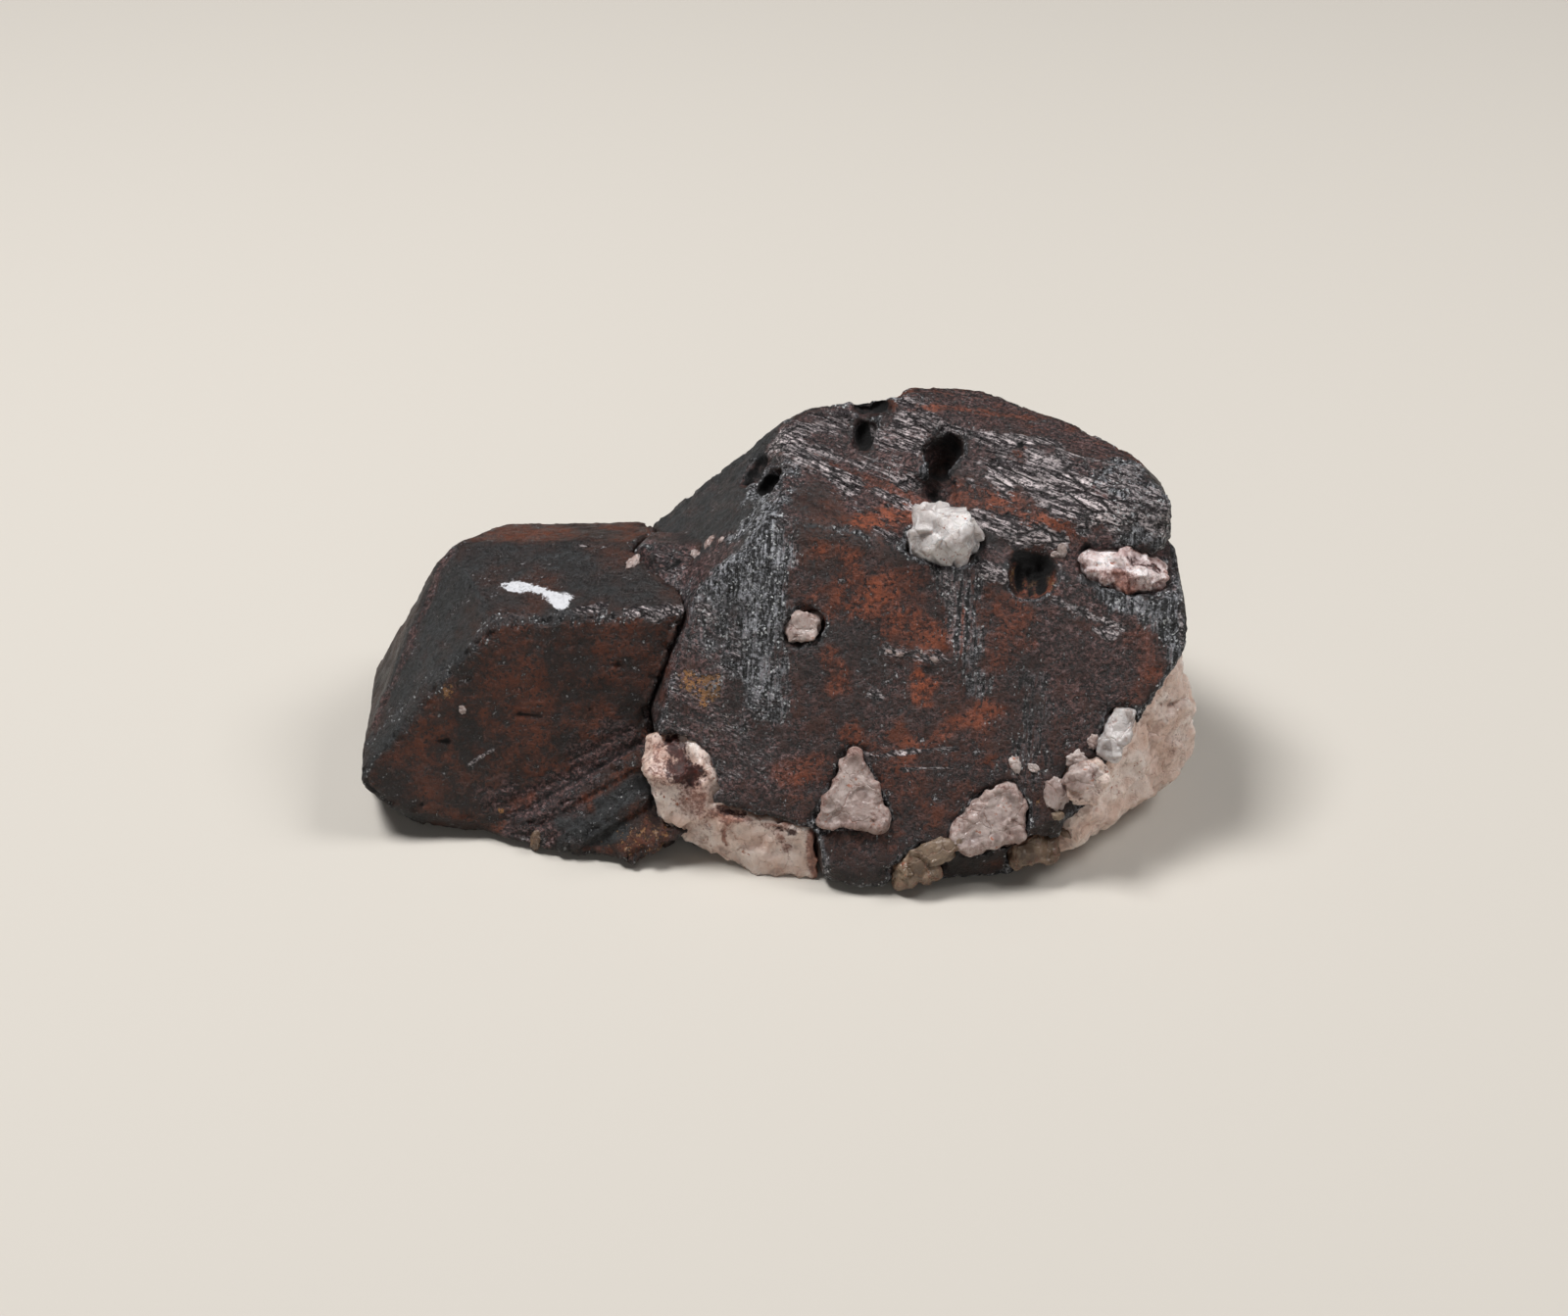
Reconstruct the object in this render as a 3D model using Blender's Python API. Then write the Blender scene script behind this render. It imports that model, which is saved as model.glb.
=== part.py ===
"""Ferberite in matrix: blocky black ferberite crystals grown together with milky quartz.

The crystals are cut as real ones are described, face by face. A face is a plane, given by the
compass direction that it looks to, its dip, and its reach from the crystal's centre. Lengths
are in millimetres until a mesh is made. +X is to the right, +Y away from the viewer, +Z up.
"""

import math
import random
from typing import NamedTuple

import bmesh
import bpy
from mathutils import Matrix, Vector

MM = 0.001

# Clearance between two pieces that touch, and how far a piece on a face is sunk into it.
FIT_GAP = 0.34

# Width of the worn bevel along the edges of a ferberite crystal, and of a quartz lump.
EDGE_WEAR = 0.5
QUARTZ_WEAR = 0.18

# Side of the cube that every crystal is cut from, and the weld distance after its cuts.
START_SIZE = 160.0
WELD = 0.03

# How far a lump of quartz is from an ellipsoid (2) towards a box (1), how far a fracture turns
# aside from the even spiral that they start from, in radians, and how far in the deepest lies.
SQUARENESS = 1.45
FRACTURE_SWING = 0.5
DEEPEST_FRACTURE = 0.86

# Linear colours of the two crystals, and of quartz that is milky, pink, grey or stained by iron.
BLACK = (0.022, 0.017, 0.016)
BROWN_BLACK = (0.027, 0.017, 0.015)
MILKY = (0.62, 0.55, 0.52)
PINK = (0.55, 0.42, 0.40)
GREY = (0.42, 0.40, 0.38)
STAINED = (0.35, 0.26, 0.21)


class Face(NamedTuple):
    """One plane of a crystal, seen from its centre.

    azimuth: the direction that it looks to. 0 is +Y, 90 is +X, 180 is towards the viewer.
    dip: 0 looks straight up, 90 is upright and 180 looks straight down.
    reach: its distance from the centre.
    """

    azimuth: float
    dip: float
    reach: float


class Lump(NamedTuple):
    """A broken piece of quartz, or a hollow of that shape.

    half: its half sizes along its length, across it, and along the direction that it faces.
    along, facing: the directions of its length and of its front.
    sides: how many flat fractures it has, and extra: faces that it is cut off by as well.
    """

    centre: tuple
    half: tuple
    along: tuple = (1, 0, 0)
    facing: tuple = (0, 0, 1)
    sides: int = 22
    seed: int = 1
    extra: tuple = ()


# The large crystal: a thick block with one broad front face that slopes back.
LARGE_CENTRE = (12.0, 0.0, 12.0)
LARGE_FRONT = Face(184, 53.6, 10.1)
LARGE_TOP = Face(138, 8.6, 13.8)
LARGE_LEFT = Face(270, 39.5, 20.1)
LARGE_FACES = [
    LARGE_FRONT,
    LARGE_TOP,
    LARGE_LEFT,
    Face(261, 66, 22.5),
    Face(262, 100, 24.6),
    Face(90, 80, 24.8),
    Face(130, 50, 23.4),
    Face(55, 84, 21.0),
    Face(89, 127.4, 14.1),
    Face(172, 92, 18.9),
    Face(201, 92, 20.6),
    Face(2, 62, 20.5),
    Face(338, 74, 22.2),
    Face(20, 112, 19.6),
    Face(0, 180, 11.5),
]

# A thin second growth over the front left part of the large crystal's top.
TOP_PLATE = [
    Face(138, 8.6, 14.12),
    Face(184, 53.6, 10.0),
    Face(270, 39.5, 20.0),
    Face(35.5, 80, -1.2),
    Face(318, 80, 16.0),
    Face(0, 180, -10.0),
]

# The thick plate across the back of the large crystal, which overhangs on the right.
SLAB_CENTRE = (22.0, 10.0, 24.0)
SLAB_BAND = Face(198, 15.4, 6.8)
SLAB_FACES = [
    SLAB_BAND,
    Face(204.8, 34.9, 7.96),
    Face(187, 65, 10.9),
    Face(44, 10.8, 6.1),
    Face(88, 86, 12.1),
    Face(70, 48, 9.6),
    Face(125, 80, 16.4),
    Face(247, 62, 9.6),
    Face(38, 65, 6.5),
    Face(51.5, 65, 7.4),
    Face(350, 60, 10.6),
    Face(0, 100, 10.2),
    Face(90, 176, 0.9),
]

# The crest that carries the slab on to the left, over the back of the large crystal's top.
CREST_CENTRE = (6.0, 12.0, 25.0)
CREST_FACES = [
    Face(214, 26.2, 3.4),
    Face(0, 0, 6.3),
    Face(0, 75, 4.7),
    Face(90, 90, 7.4),
    Face(180, 90, 6.0),
    Face(300, 80, 6.5),
    Face(0, 180, 5.0),
]

# The rough shoulder of the large crystal that lies over the small one's top.
SHOULDER = Lump((-9.4, 3.2, 17.9), (6.6, 3.5, 2.9), (0.5, -0.86, 0), (-0.35, -0.1, 1), 26, 41)

# The small crystal on the left, a stubby block with a sloping end.
SMALL_CENTRE = (-23.0, 0.0, 10.0)
SMALL_FACES = [
    Face(176, 71.4, 8.4),
    Face(247, 1.7, 10.1),
    Face(359, 21.2, 11.9),
    Face(0, 78, 14.8),
    Face(185, 110, 14.3),
    Face(247, 44.2, 10.5),
    Face(270, 60, 12.2),
    Face(307, 68, 13.1),
    Face(268, 84, 15.3),
    Face(230, 126, 17.8),
    Face(300, 112, 17.5),
    Face(20, 118, 15.0),
    Face(95, 90, 16.5),
    Face(0, 180, 12.0),
]

# How high the undersides of the crystals are above the resting face of the quartz.
LIFT = 0.5

# The lower right of the small crystal's front, where it is broken off in oblique ledges.
BROKEN_FACE = Face(196, 45.8, 3.0)
BROKEN_BLOCK = [
    BROKEN_FACE,
    Face(182, 92, 15.4),
    Face(215, 92, 12.6),
    Face(150, 92, 18.2),
    Face(95, 90, 16.0),
    Face(270, 90, 5.0),
    Face(0, 90, 0.0),
    Face(0, 180, 12.0),
]
LEDGE_TREND = Vector((0.861, 0.217, 0.459))
FIRST_LEDGE = Vector((-17.2, -10.5, 5.3))
LEDGE_STEP = Vector((0.467, -0.691, -0.550))

# The ledges: how far each is down the step and along the trend, then half length, half width, height.
LEDGES = [
    (0.0, 0.2, 6.1, 0.8, 0.7),
    (1.7, 0.6, 5.6, 0.6, 0.45),
    (3.4, 0.6, 4.6, 0.9, 0.8),
    (5.3, 3.0, 2.6, 0.6, 0.4),
    (6.6, 2.2, 2.4, 1.1, 0.5),
]

# The way the thin parting layers on top of the crystals run, and the fall line of a front face.
PARTING = Vector((0.85, -0.53, 0))
FALL_LINE = Vector((0, -1, 0))

# The parting layers on the large crystal's top and on the slab: middle and half length.
TOP_LAYERS = [
    (5.0, 6.6, 3.8),
    (8.6, 6.4, 2.6),
    (5.4, 9.0, 3.9),
    (8.8, 9.2, 2.8),
    (4.6, 11.8, 2.6),
    (9.4, 12.0, 2.2),
    (6.0, 14.2, 1.8),
]
SLAB_LAYERS = [
    (20.5, 7.4, 3.2),
    (24.2, 6.2, 3.4),
    (22.6, 4.0, 3.0),
    (27.4, 4.2, 2.6),
    (26.6, 1.6, 2.4),
    (29.8, 0.8, 1.6),
]
LAYER_HALF_WIDTH = (0.45, 0.8)
LAYER_HEIGHT = (0.14, 0.28)
LAYER_SEED = 44

# The two bands of upright ridges on the large crystal's front: their left and right edges,
# and the heights between which they run.
STRIATION_BANDS = [(-4.6, -0.6, 12.0, 23.0), (14.4, 17.4, 16.4, 23.6)]
STRIATION_HALF_LENGTH = (2.4, 4.6)
STRIATION_HALF_WIDTH = (0.2, 0.36)
STRIATION_HEIGHT = (0.1, 0.2)
STRIATION_SPACING = (0.05, 0.5)
STRIATION_SEED = 31

# How much the two long flanks of a ridge lean out, where 1 is halfway over, as its ends are.
FLANK_LEAN = 0.7

# The quartz that the crystals sit in: a mass under them that comes out at the front left,
# at the right and at the back. Its underside is broken flat, and the specimen rests on it.
RESTING_FACE = 0.0
MATRIX_LUMPS = {
    "matrix_base": Lump((9, 2, 4.6), (20, 12.5, 4.9), along=(1, 0.1, 0), sides=34, seed=4),
    "matrix_left": Lump(
        (-3.4, -15.0, 4.6),
        (8.8, 4.8, 6.0),
        (0.88, -0.34, -0.33),
        (-0.358, -0.934, 0.05),
        30,
        7,
        (Face(201, 92, 1.1), Face(190, 84, 0.87), Face(75, 88, 5.4), Face(90, 10, 1.3)),
    ),
    "matrix_seam": Lump(
        (-9.0, -11.9, 7.5), (4.2, 2.9, 2.2), (0.42, -0.5, -0.75), (-0.2, -0.9, 0.4), 26, 10
    ),
    "matrix_back": Lump((5.0, 16.2, 3.4), (8.5, 4.2, 4.4), (1, -0.15, 0), (0.1, 1, 0.3), 26, 19),
    "matrix_right": Lump(
        (28.6, -7.6, 8.2),
        (9.8, 8.4, 8.0),
        (0.75, 0.5, 0.4),
        (0.5, -0.6, 0.4),
        26,
        12,
        (
            Face(268.9, 52.6, 1.6),
            Face(184, 53.6, 7.5),
            Face(138, 77, 4.2),
            Face(138, 130, 6.6),
            Face(85, 78, 8.6),
            Face(112, 80, 7.2),
            Face(162, 112, 9.0),
        ),
    ),
}

# Where the large crystal is broken away in front of the quartz at the front left.
BAND_CENTRE = MATRIX_LUMPS["matrix_left"].centre
BAND_BREAK = [
    Face(10, 96, -0.45),
    Face(75, 88, 5.4 + FIT_GAP),
    Face(180, 90, 8.0),
    Face(270, 90, 12.0),
    Face(90, 10, 1.3 + FIT_GAP),
    Face(0, 180, 6.0),
]

# Quartz enclosed in the large crystal's faces, each a piece of its own, and its tints.
ENCLOSED_QUARTZ = {
    "quartz_wedge": Lump(
        (6.1, -14.4, 7.4),
        (4.2, 3.4, 2.6),
        (0.1, 0.59, 0.8),
        (0, -0.81, 0.59),
        18,
        3,
        (Face(286, 70, 1.7), Face(74, 70, 1.8), Face(180, 144, 2.5)),
    ),
    "quartz_lens": Lump(
        (18.4, -15.9, 6.1), (3.5, 1.6, 2.2),
        (0.78, 0.32, 0.54), (0, -0.81, 0.59),
        20, 5,
    ),
    "quartz_knob": Lump(
        (14.1, -1.0, 26.2), (2.9, 2.2, 2.2),
        (0.9, -0.2, 0), (0, -0.3, 0.95),
        24, 8,
    ),
    "quartz_vein": Lump(
        (30.2, -3.0, 23.9), (4.0, 1.5, 1.0),
        (0.98, -0.1, -0.06), (0.05, -0.1, 1),
        26, 9,
    ),
    "quartz_chip": Lump(
        (29.3, -12.6, 13.0), (2.2, 0.9, 1.4),
        (0.3, 0.5, 0.8), (0, -0.8, 0.59),
        16, 14,
    ),
    "quartz_pebble": Lump(
        (26.6, -14.9, 9.5), (1.7, 1.2, 1.4),
        (0.9, 0.2, 0.3), (0.2, -0.8, 0.5),
        16, 15,
    ),
    "quartz_eye": Lump(
        (1.8, -5.7, 19.5), (1.6, 0.9, 1.1),
        (0.9, 0.2, 0.3), (0, -0.81, 0.59),
        16, 16,
    ),
    "quartz_grain_low": Lump(
        (11.8, -18.0, 2.4), (2.1, 1.1, 1.5),
        (0.9, 0.1, 0.35), (0, -0.95, 0.2),
        16, 17,
    ),
    "quartz_grain_right": Lump(
        (22.2, -16.4, 3.0), (2.0, 1.1, 1.5),
        (0.95, 0.1, 0.2), (0.1, -0.95, 0.2),
        16, 18,
    ),
}

QUARTZ_TINTS = {
    "quartz_wedge": GREY,
    "quartz_lens": GREY,
    "quartz_knob": MILKY,
    "quartz_vein": PINK,
    "quartz_chip": MILKY,
    "quartz_pebble": PINK,
    "quartz_eye": GREY,
    "quartz_grain_low": STAINED,
    "quartz_grain_right": STAINED,
}

# Open pits in the large crystal, left where other minerals have dissolved.
PITS = [
    Lump((14.8, 8.2, 28.4), (1.9, 1.5, 2.6), (-0.2, 1, 0), sides=16, seed=21),
    Lump((14.2, 5.4, 26.8), (1.6, 1.1, 1.6), (-0.3, 1, 0), sides=14, seed=22),
    Lump((7.3, 11.4, 29.2), (1.9, 0.85, 2.0), (-0.1, 1, 0), sides=14, seed=23),
    Lump((7.9, 14.0, 30.9), (2.1, 1.0, 1.4), (1, -0.1, 0), sides=14, seed=24),
    Lump((-2.9, 10.0, 26.2), (1.6, 1.2, 1.7), (0.3, 1, 0), (-0.5, 0, 0.9), 14, 25),
    Lump((-1.5, 6.8, 26.4), (1.6, 1.3, 1.5), (0.3, 1, 0), (-0.4, 0, 0.9), 14, 26),
]
NOTCH = Lump((21.8, -3.9, 24.2), (1.8, 1.7, 2.4), (1, 0, 0), (0, 0.1, 1), 22, 27)

# The open end of the seam between the large crystal and the slab that overhangs it.
SEAM_MOUTH = Lump((35.4, -2.4, 24.2), (2.9, 4.2, 0.8), (0.97, -0.2, -0.1), (0.08, -0.12, 1), 0, 28)


def outward(azimuth, dip):
    """The unit vector that a face with this azimuth and dip looks along."""
    turn, lean = math.radians(azimuth), math.radians(dip)
    return Vector((math.sin(turn) * math.sin(lean), math.cos(turn) * math.sin(lean), math.cos(lean)))


def face_looking(way, reach):
    """The Face whose outward direction is the vector way."""
    way = way.normalized()
    return Face(math.degrees(math.atan2(way.x, way.y)), math.degrees(math.acos(way.z)), reach)


def grown(faces, by):
    """The same faces, each moved outwards by a distance."""
    return [Face(face.azimuth, face.dip, face.reach + by) for face in faces]


def cut_block(centre, faces, wear):
    """A bmesh: a cube with the plane of each face cut off it, and a bevel of width wear."""
    block = bmesh.new()
    bmesh.ops.create_cube(block, size=START_SIZE, matrix=Matrix.Translation(centre))
    for face in faces:
        looks = outward(face.azimuth, face.dip)
        cut = bmesh.ops.bisect_plane(
            block,
            geom=block.verts[:] + block.edges[:] + block.faces[:],
            plane_co=Vector(centre) + looks * face.reach,
            plane_no=looks,
            clear_outer=True,
        )
        rim = [item for item in cut["geom_cut"] if isinstance(item, bmesh.types.BMEdge)]
        if rim:
            bmesh.ops.edgeloop_fill(block, edges=rim)
    bmesh.ops.remove_doubles(block, verts=block.verts, dist=WELD)
    if wear:
        bmesh.ops.bevel(
            block,
            geom=block.edges[:],
            offset=wear,
            segments=1,
            profile=0.5,
            affect="EDGES",
            clamp_overlap=True,
            material=-1,
        )
        bmesh.ops.remove_doubles(block, verts=block.verts, dist=WELD)
    bmesh.ops.recalc_face_normals(block, faces=block.faces)
    return block


def axes_of(along, facing):
    """A rotation matrix whose columns run along, across and towards the front."""
    front = Vector(facing).normalized()
    across = front.cross(Vector(along)).normalized()
    return Matrix((across.cross(front), across, front)).transposed()


def fractures(lump):
    """The faces of a lump: a spiral of directions over the sphere, with uneven reaches."""
    chance = random.Random(lump.seed)
    turn = axes_of(lump.along, lump.facing)
    golden = math.pi * (3 - math.sqrt(5))
    faces = []
    for number in range(lump.sides):
        height = 1 - 2 * (number + 0.5) / lump.sides
        ring = math.sqrt(1 - height * height)
        swing = golden * number + chance.uniform(-FRACTURE_SWING, FRACTURE_SWING)
        way = Vector((ring * math.cos(swing), ring * math.sin(swing), height))
        spread = sum(abs(size * part) ** SQUARENESS for size, part in zip(lump.half, way))
        reach = spread ** (1 / SQUARENESS) * chance.uniform(DEEPEST_FRACTURE, 1)
        faces.append(face_looking(turn @ way, reach))
    if not lump.sides:
        for axis, size in enumerate(lump.half):
            for sign in (-1, 1):
                faces.append(face_looking(turn.col[axis] * sign, size))
    return faces + list(lump.extra)


def make_object(name, block, collection, material=None):
    """Turns a bmesh in millimetres into an object in metres, in a collection."""
    block.transform(Matrix.Scale(MM, 4))
    mesh = bpy.data.meshes.new(name)
    block.to_mesh(mesh)
    block.free()
    thing = bpy.data.objects.new(name, mesh)
    collection.objects.link(thing)
    if material:
        mesh.materials.append(material)
    return thing


def make_lump(name, lump, collection, material=None, grow=0.0, wear=QUARTZ_WEAR, floor=None):
    """A lump as an object, grown outwards by a distance, and cut off flat at floor if that is given."""
    faces = grown(fractures(lump), grow)
    if floor is not None:
        faces.append(Face(0, 180, lump.centre[2] - floor + grow))
    return make_object(name, cut_block(lump.centre, faces, wear), collection, material)


def make_collection(name, helper=False):
    """A new collection in the scene. A helper's objects are cutters, and are not part of the object."""
    collection = bpy.data.collections.new(name)
    bpy.context.scene.collection.children.link(collection)
    collection.hide_render = helper
    return collection


def hide(collection):
    """Draws the cutters in a collection as wires, and keeps them out of the render."""
    for thing in collection.objects:
        thing.hide_render = True
        thing.display_type = "WIRE"


def combine(target, operation, collection):
    """Joins or cuts a piece with every object of a collection."""
    hide(collection)
    step = target.modifiers.new(f"{operation.lower()} {collection.name}", "BOOLEAN")
    step.operation = operation
    step.operand_type = "COLLECTION"
    step.collection = collection
    step.solver = "EXACT"


def make_material(piece, colour, roughness, metallic=0.0):
    """A Principled material with one linear colour, named for the piece that has it."""
    material = bpy.data.materials.new(f"{piece}_finish")
    material.use_nodes = True
    shader = material.node_tree.nodes["Principled BSDF"]
    shader.inputs["Base Color"].default_value = (*colour, 1)
    shader.inputs["Roughness"].default_value = roughness
    shader.inputs["Metallic"].default_value = metallic
    return material


def ferberite(piece, colour):
    """Ferberite: nearly black, with a dull submetallic shine."""
    return make_material(piece, colour, roughness=0.38, metallic=0.25)


def quartz(piece, colour):
    """Massive quartz, with a glassy broken surface."""
    return make_material(piece, colour, roughness=0.35)


def point_on(face, centre, x, z):
    """The point of a crystal's front face with this x and z."""
    looks = outward(face.azimuth, face.dip)
    rest = face.reach - looks.x * (x - centre[0]) - looks.z * (z - centre[2])
    return Vector((x, centre[1] + rest / looks.y, z))


def drop_on(face, centre, point):
    """The foot of a point on a face of the crystal with that centre."""
    looks = outward(face.azimuth, face.dip)
    point = Vector(point)
    return point + looks * (face.reach - looks.dot(point - Vector(centre)))


def make_ridge(name, centre, face, spot, trend, half, collection):
    """A low ridge or layer on a crystal face, with sloping sides and ends.

    spot: a point near its middle. trend: the direction that it runs in, laid on the face.
    half: its half length, half width and height.
    """
    looks = outward(face.azimuth, face.dip)
    length, width, height = half
    axes = axes_of(trend, looks)
    sides = [
        face_looking(axes.col[0] + looks, length),
        face_looking(-axes.col[0] + looks, length),
        face_looking(axes.col[1] + looks * FLANK_LEAN, width),
        face_looking(-axes.col[1] + looks * FLANK_LEAN, width),
        face_looking(looks, height),
        face_looking(-looks, FIT_GAP),
    ]
    return make_object(name, cut_block(drop_on(face, centre, spot), sides, 0), collection)


def add_front_striations(collection):
    """The two bands of fine upright ridges on the large crystal's front face."""
    chance = random.Random(STRIATION_SEED)
    rise = math.sin(math.radians(LARGE_FRONT.dip))
    for band, (left, right, low, high) in enumerate(STRIATION_BANDS):
        across = left
        count = 0
        while across < right:
            width = chance.uniform(*STRIATION_HALF_WIDTH)
            length = chance.uniform(*STRIATION_HALF_LENGTH)
            height = chance.uniform(low + length * rise, high - length * rise)
            spot = point_on(LARGE_FRONT, LARGE_CENTRE, across, height)
            ridge = (length, width, chance.uniform(*STRIATION_HEIGHT))
            name = f"striation_{band}_{count}"
            make_ridge(name, LARGE_CENTRE, LARGE_FRONT, spot, FALL_LINE, ridge, collection)
            across += width * 2 + chance.uniform(*STRIATION_SPACING)
            count += 1


def add_parting_layers(collection):
    """The thin layers that run across the top of the large crystal and along the slab."""
    chance = random.Random(LAYER_SEED)
    places = [("top", LARGE_CENTRE, LARGE_TOP, spot) for spot in TOP_LAYERS]
    places += [("slab", SLAB_CENTRE, SLAB_BAND, spot) for spot in SLAB_LAYERS]
    for count, (where, centre, face, (x, y, length)) in enumerate(places):
        layer = (length, chance.uniform(*LAYER_HALF_WIDTH), chance.uniform(*LAYER_HEIGHT))
        spot = (x, y, centre[2] + face.reach)
        make_ridge(f"{where}_layer_{count}", centre, face, spot, PARTING, layer, collection)


def add_broken_ledges(collection):
    """The block with oblique ledges where the small crystal is broken off, at its lower right."""
    make_object("broken_block", cut_block(SMALL_CENTRE, BROKEN_BLOCK, EDGE_WEAR), collection)
    for count, (down, along, *ledge) in enumerate(LEDGES):
        spot = FIRST_LEDGE + LEDGE_STEP * down + LEDGE_TREND * along
        make_ridge(f"ledge_{count}", SMALL_CENTRE, BROKEN_FACE, spot, LEDGE_TREND, ledge, collection)


def make_large_crystal(collection, lumps):
    """The large crystal, its slab, ridges and layers, and hollows for pits and for the lumps."""
    block = cut_block(LARGE_CENTRE, LARGE_FACES, EDGE_WEAR)
    crystal = make_object("large_crystal", block, collection, ferberite("large_crystal", BLACK))
    growth = make_collection("large_crystal_growth", helper=True)
    make_object("slab", cut_block(SLAB_CENTRE, SLAB_FACES, EDGE_WEAR), growth)
    make_object("crest", cut_block(CREST_CENTRE, CREST_FACES, EDGE_WEAR), growth)
    make_object("top_plate", cut_block(LARGE_CENTRE, TOP_PLATE, 0), growth)
    make_lump("shoulder", SHOULDER, growth)
    add_front_striations(growth)
    add_parting_layers(growth)
    combine(crystal, "UNION", growth)
    hollows = make_collection("large_crystal_hollows", helper=True)
    for count, pit in enumerate(PITS):
        make_lump(f"pit_{count}", pit, hollows, wear=0)
    make_lump("notch", NOTCH, hollows, wear=0)
    make_lump("seam_mouth", SEAM_MOUTH, hollows, wear=0)
    make_object("band_break", cut_block(BAND_CENTRE, BAND_BREAK, 0), hollows)
    for name, lump, floor in lumps:
        make_lump(f"bed_of_{name}", lump, hollows, grow=FIT_GAP, wear=0, floor=floor)
    combine(crystal, "DIFFERENCE", hollows)
    return crystal


def make_small_crystal(collection, lumps):
    """The small crystal with its broken ledges, cut back where it meets its neighbours."""
    block = cut_block(SMALL_CENTRE, SMALL_FACES, EDGE_WEAR)
    crystal = make_object("small_crystal", block, collection, ferberite("small_crystal", BROWN_BLACK))
    ledges = make_collection("small_crystal_ledges", helper=True)
    add_broken_ledges(ledges)
    combine(crystal, "UNION", ledges)
    contacts = make_collection("small_crystal_contacts", helper=True)
    neighbour = cut_block(LARGE_CENTRE, grown(LARGE_FACES, FIT_GAP), 0)
    make_object("contact_with_large_crystal", neighbour, contacts)
    make_lump("contact_with_shoulder", SHOULDER, contacts, grow=FIT_GAP, wear=0)
    make_object("ground", cut_block((0, 0, 0), [Face(0, 0, LIFT)], 0), contacts)
    for name, lump, floor in lumps:
        make_lump(f"contact_with_{name}", lump, contacts, grow=FIT_GAP, wear=0, floor=floor)
    combine(crystal, "DIFFERENCE", contacts)
    return crystal


def make_quartz_matrix(collection, lumps, enclosed):
    """The mass of quartz, one solid of its lumps grown together, with room for the enclosed pieces."""
    (_, base, floor), *others = lumps
    mass = make_lump("quartz_matrix", base, collection, quartz("quartz_matrix", MILKY), floor=floor)
    joined = make_collection("quartz_matrix_lumps", helper=True)
    for name, lump, floor in others:
        make_lump(name, lump, joined, floor=floor)
    combine(mass, "UNION", joined)
    hollows = make_collection("quartz_matrix_hollows", helper=True)
    for name, lump, floor in enclosed:
        make_lump(f"hollow_of_{name}", lump, hollows, grow=FIT_GAP, wear=0, floor=floor)
    combine(mass, "DIFFERENCE", hollows)
    return mass


def stand_at_origin(collection):
    """Parents everything to one empty, moved so that the origin is at the middle of the footprint."""
    specimen = bpy.data.objects.new("specimen", None)
    collection.objects.link(specimen)
    bpy.context.view_layer.update()
    graph = bpy.context.evaluated_depsgraph_get()
    corners = [
        Vector(corner)
        for piece in collection.objects
        if piece.type == "MESH"
        for corner in piece.evaluated_get(graph).bound_box
    ]
    low = Vector(map(min, *corners))
    high = Vector(map(max, *corners))
    specimen.location = (-(low.x + high.x) / 2, -(low.y + high.y) / 2, -low.z)
    for thing in bpy.context.scene.objects:
        if thing != specimen:
            thing.parent = specimen


def main():
    """Builds the specimen."""
    for thing in list(bpy.data.objects):
        bpy.data.objects.remove(thing)
    specimen = make_collection("ferberite_in_matrix")
    matrix_lumps = [(name, lump, RESTING_FACE) for name, lump in MATRIX_LUMPS.items()]
    enclosed = [(name, lump, None) for name, lump in ENCLOSED_QUARTZ.items()]
    make_large_crystal(specimen, matrix_lumps + enclosed)
    make_small_crystal(specimen, matrix_lumps)
    make_quartz_matrix(specimen, matrix_lumps, enclosed)
    for name, lump, floor in enclosed:
        make_lump(name, lump, specimen, quartz(name, QUARTZ_TINTS[name]), floor=floor)
    stand_at_origin(specimen)


main()
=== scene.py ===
"""Ferberite in matrix: two worn, iron-stained ferberite crystals in milky quartz.

Each solid of the frame is copied, remeshed finely and worn, and the copy stands for it. What
lies on the surfaces, such as an iron film, a broken sparkling edge or a streak of silvery
parting layers, is a cover: a number at every point, from 0 to 1, that says how much of the
surface it takes there. The relief and the material both read it. Lengths are in millimetres
until a mesh is written.
"""

import logging
import math
import random
from dataclasses import dataclass, field
from enum import Enum

import bmesh
import bpy
import numpy as np
from mathutils import Matrix, Vector, noise
from mathutils.bvhtree import BVHTree


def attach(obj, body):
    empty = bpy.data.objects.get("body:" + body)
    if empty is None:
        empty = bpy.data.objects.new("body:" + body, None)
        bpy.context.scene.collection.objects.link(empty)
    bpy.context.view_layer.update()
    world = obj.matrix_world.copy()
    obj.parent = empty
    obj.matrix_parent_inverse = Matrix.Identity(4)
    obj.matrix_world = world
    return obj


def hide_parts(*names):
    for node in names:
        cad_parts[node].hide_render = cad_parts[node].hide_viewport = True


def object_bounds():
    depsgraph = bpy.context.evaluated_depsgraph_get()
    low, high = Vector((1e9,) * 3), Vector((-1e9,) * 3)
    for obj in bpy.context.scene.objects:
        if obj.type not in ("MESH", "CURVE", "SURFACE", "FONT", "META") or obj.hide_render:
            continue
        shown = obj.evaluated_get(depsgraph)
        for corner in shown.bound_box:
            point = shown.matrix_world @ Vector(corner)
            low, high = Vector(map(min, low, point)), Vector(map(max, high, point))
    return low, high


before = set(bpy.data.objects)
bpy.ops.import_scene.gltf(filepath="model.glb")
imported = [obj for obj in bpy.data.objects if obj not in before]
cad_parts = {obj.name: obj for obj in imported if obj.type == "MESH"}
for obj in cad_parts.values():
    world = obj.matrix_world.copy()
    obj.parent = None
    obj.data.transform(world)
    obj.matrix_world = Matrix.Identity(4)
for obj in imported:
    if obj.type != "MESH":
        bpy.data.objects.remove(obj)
cad_box = [list(corner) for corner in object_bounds()]

log = logging.getLogger("specimen")

MM = 0.001

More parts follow.
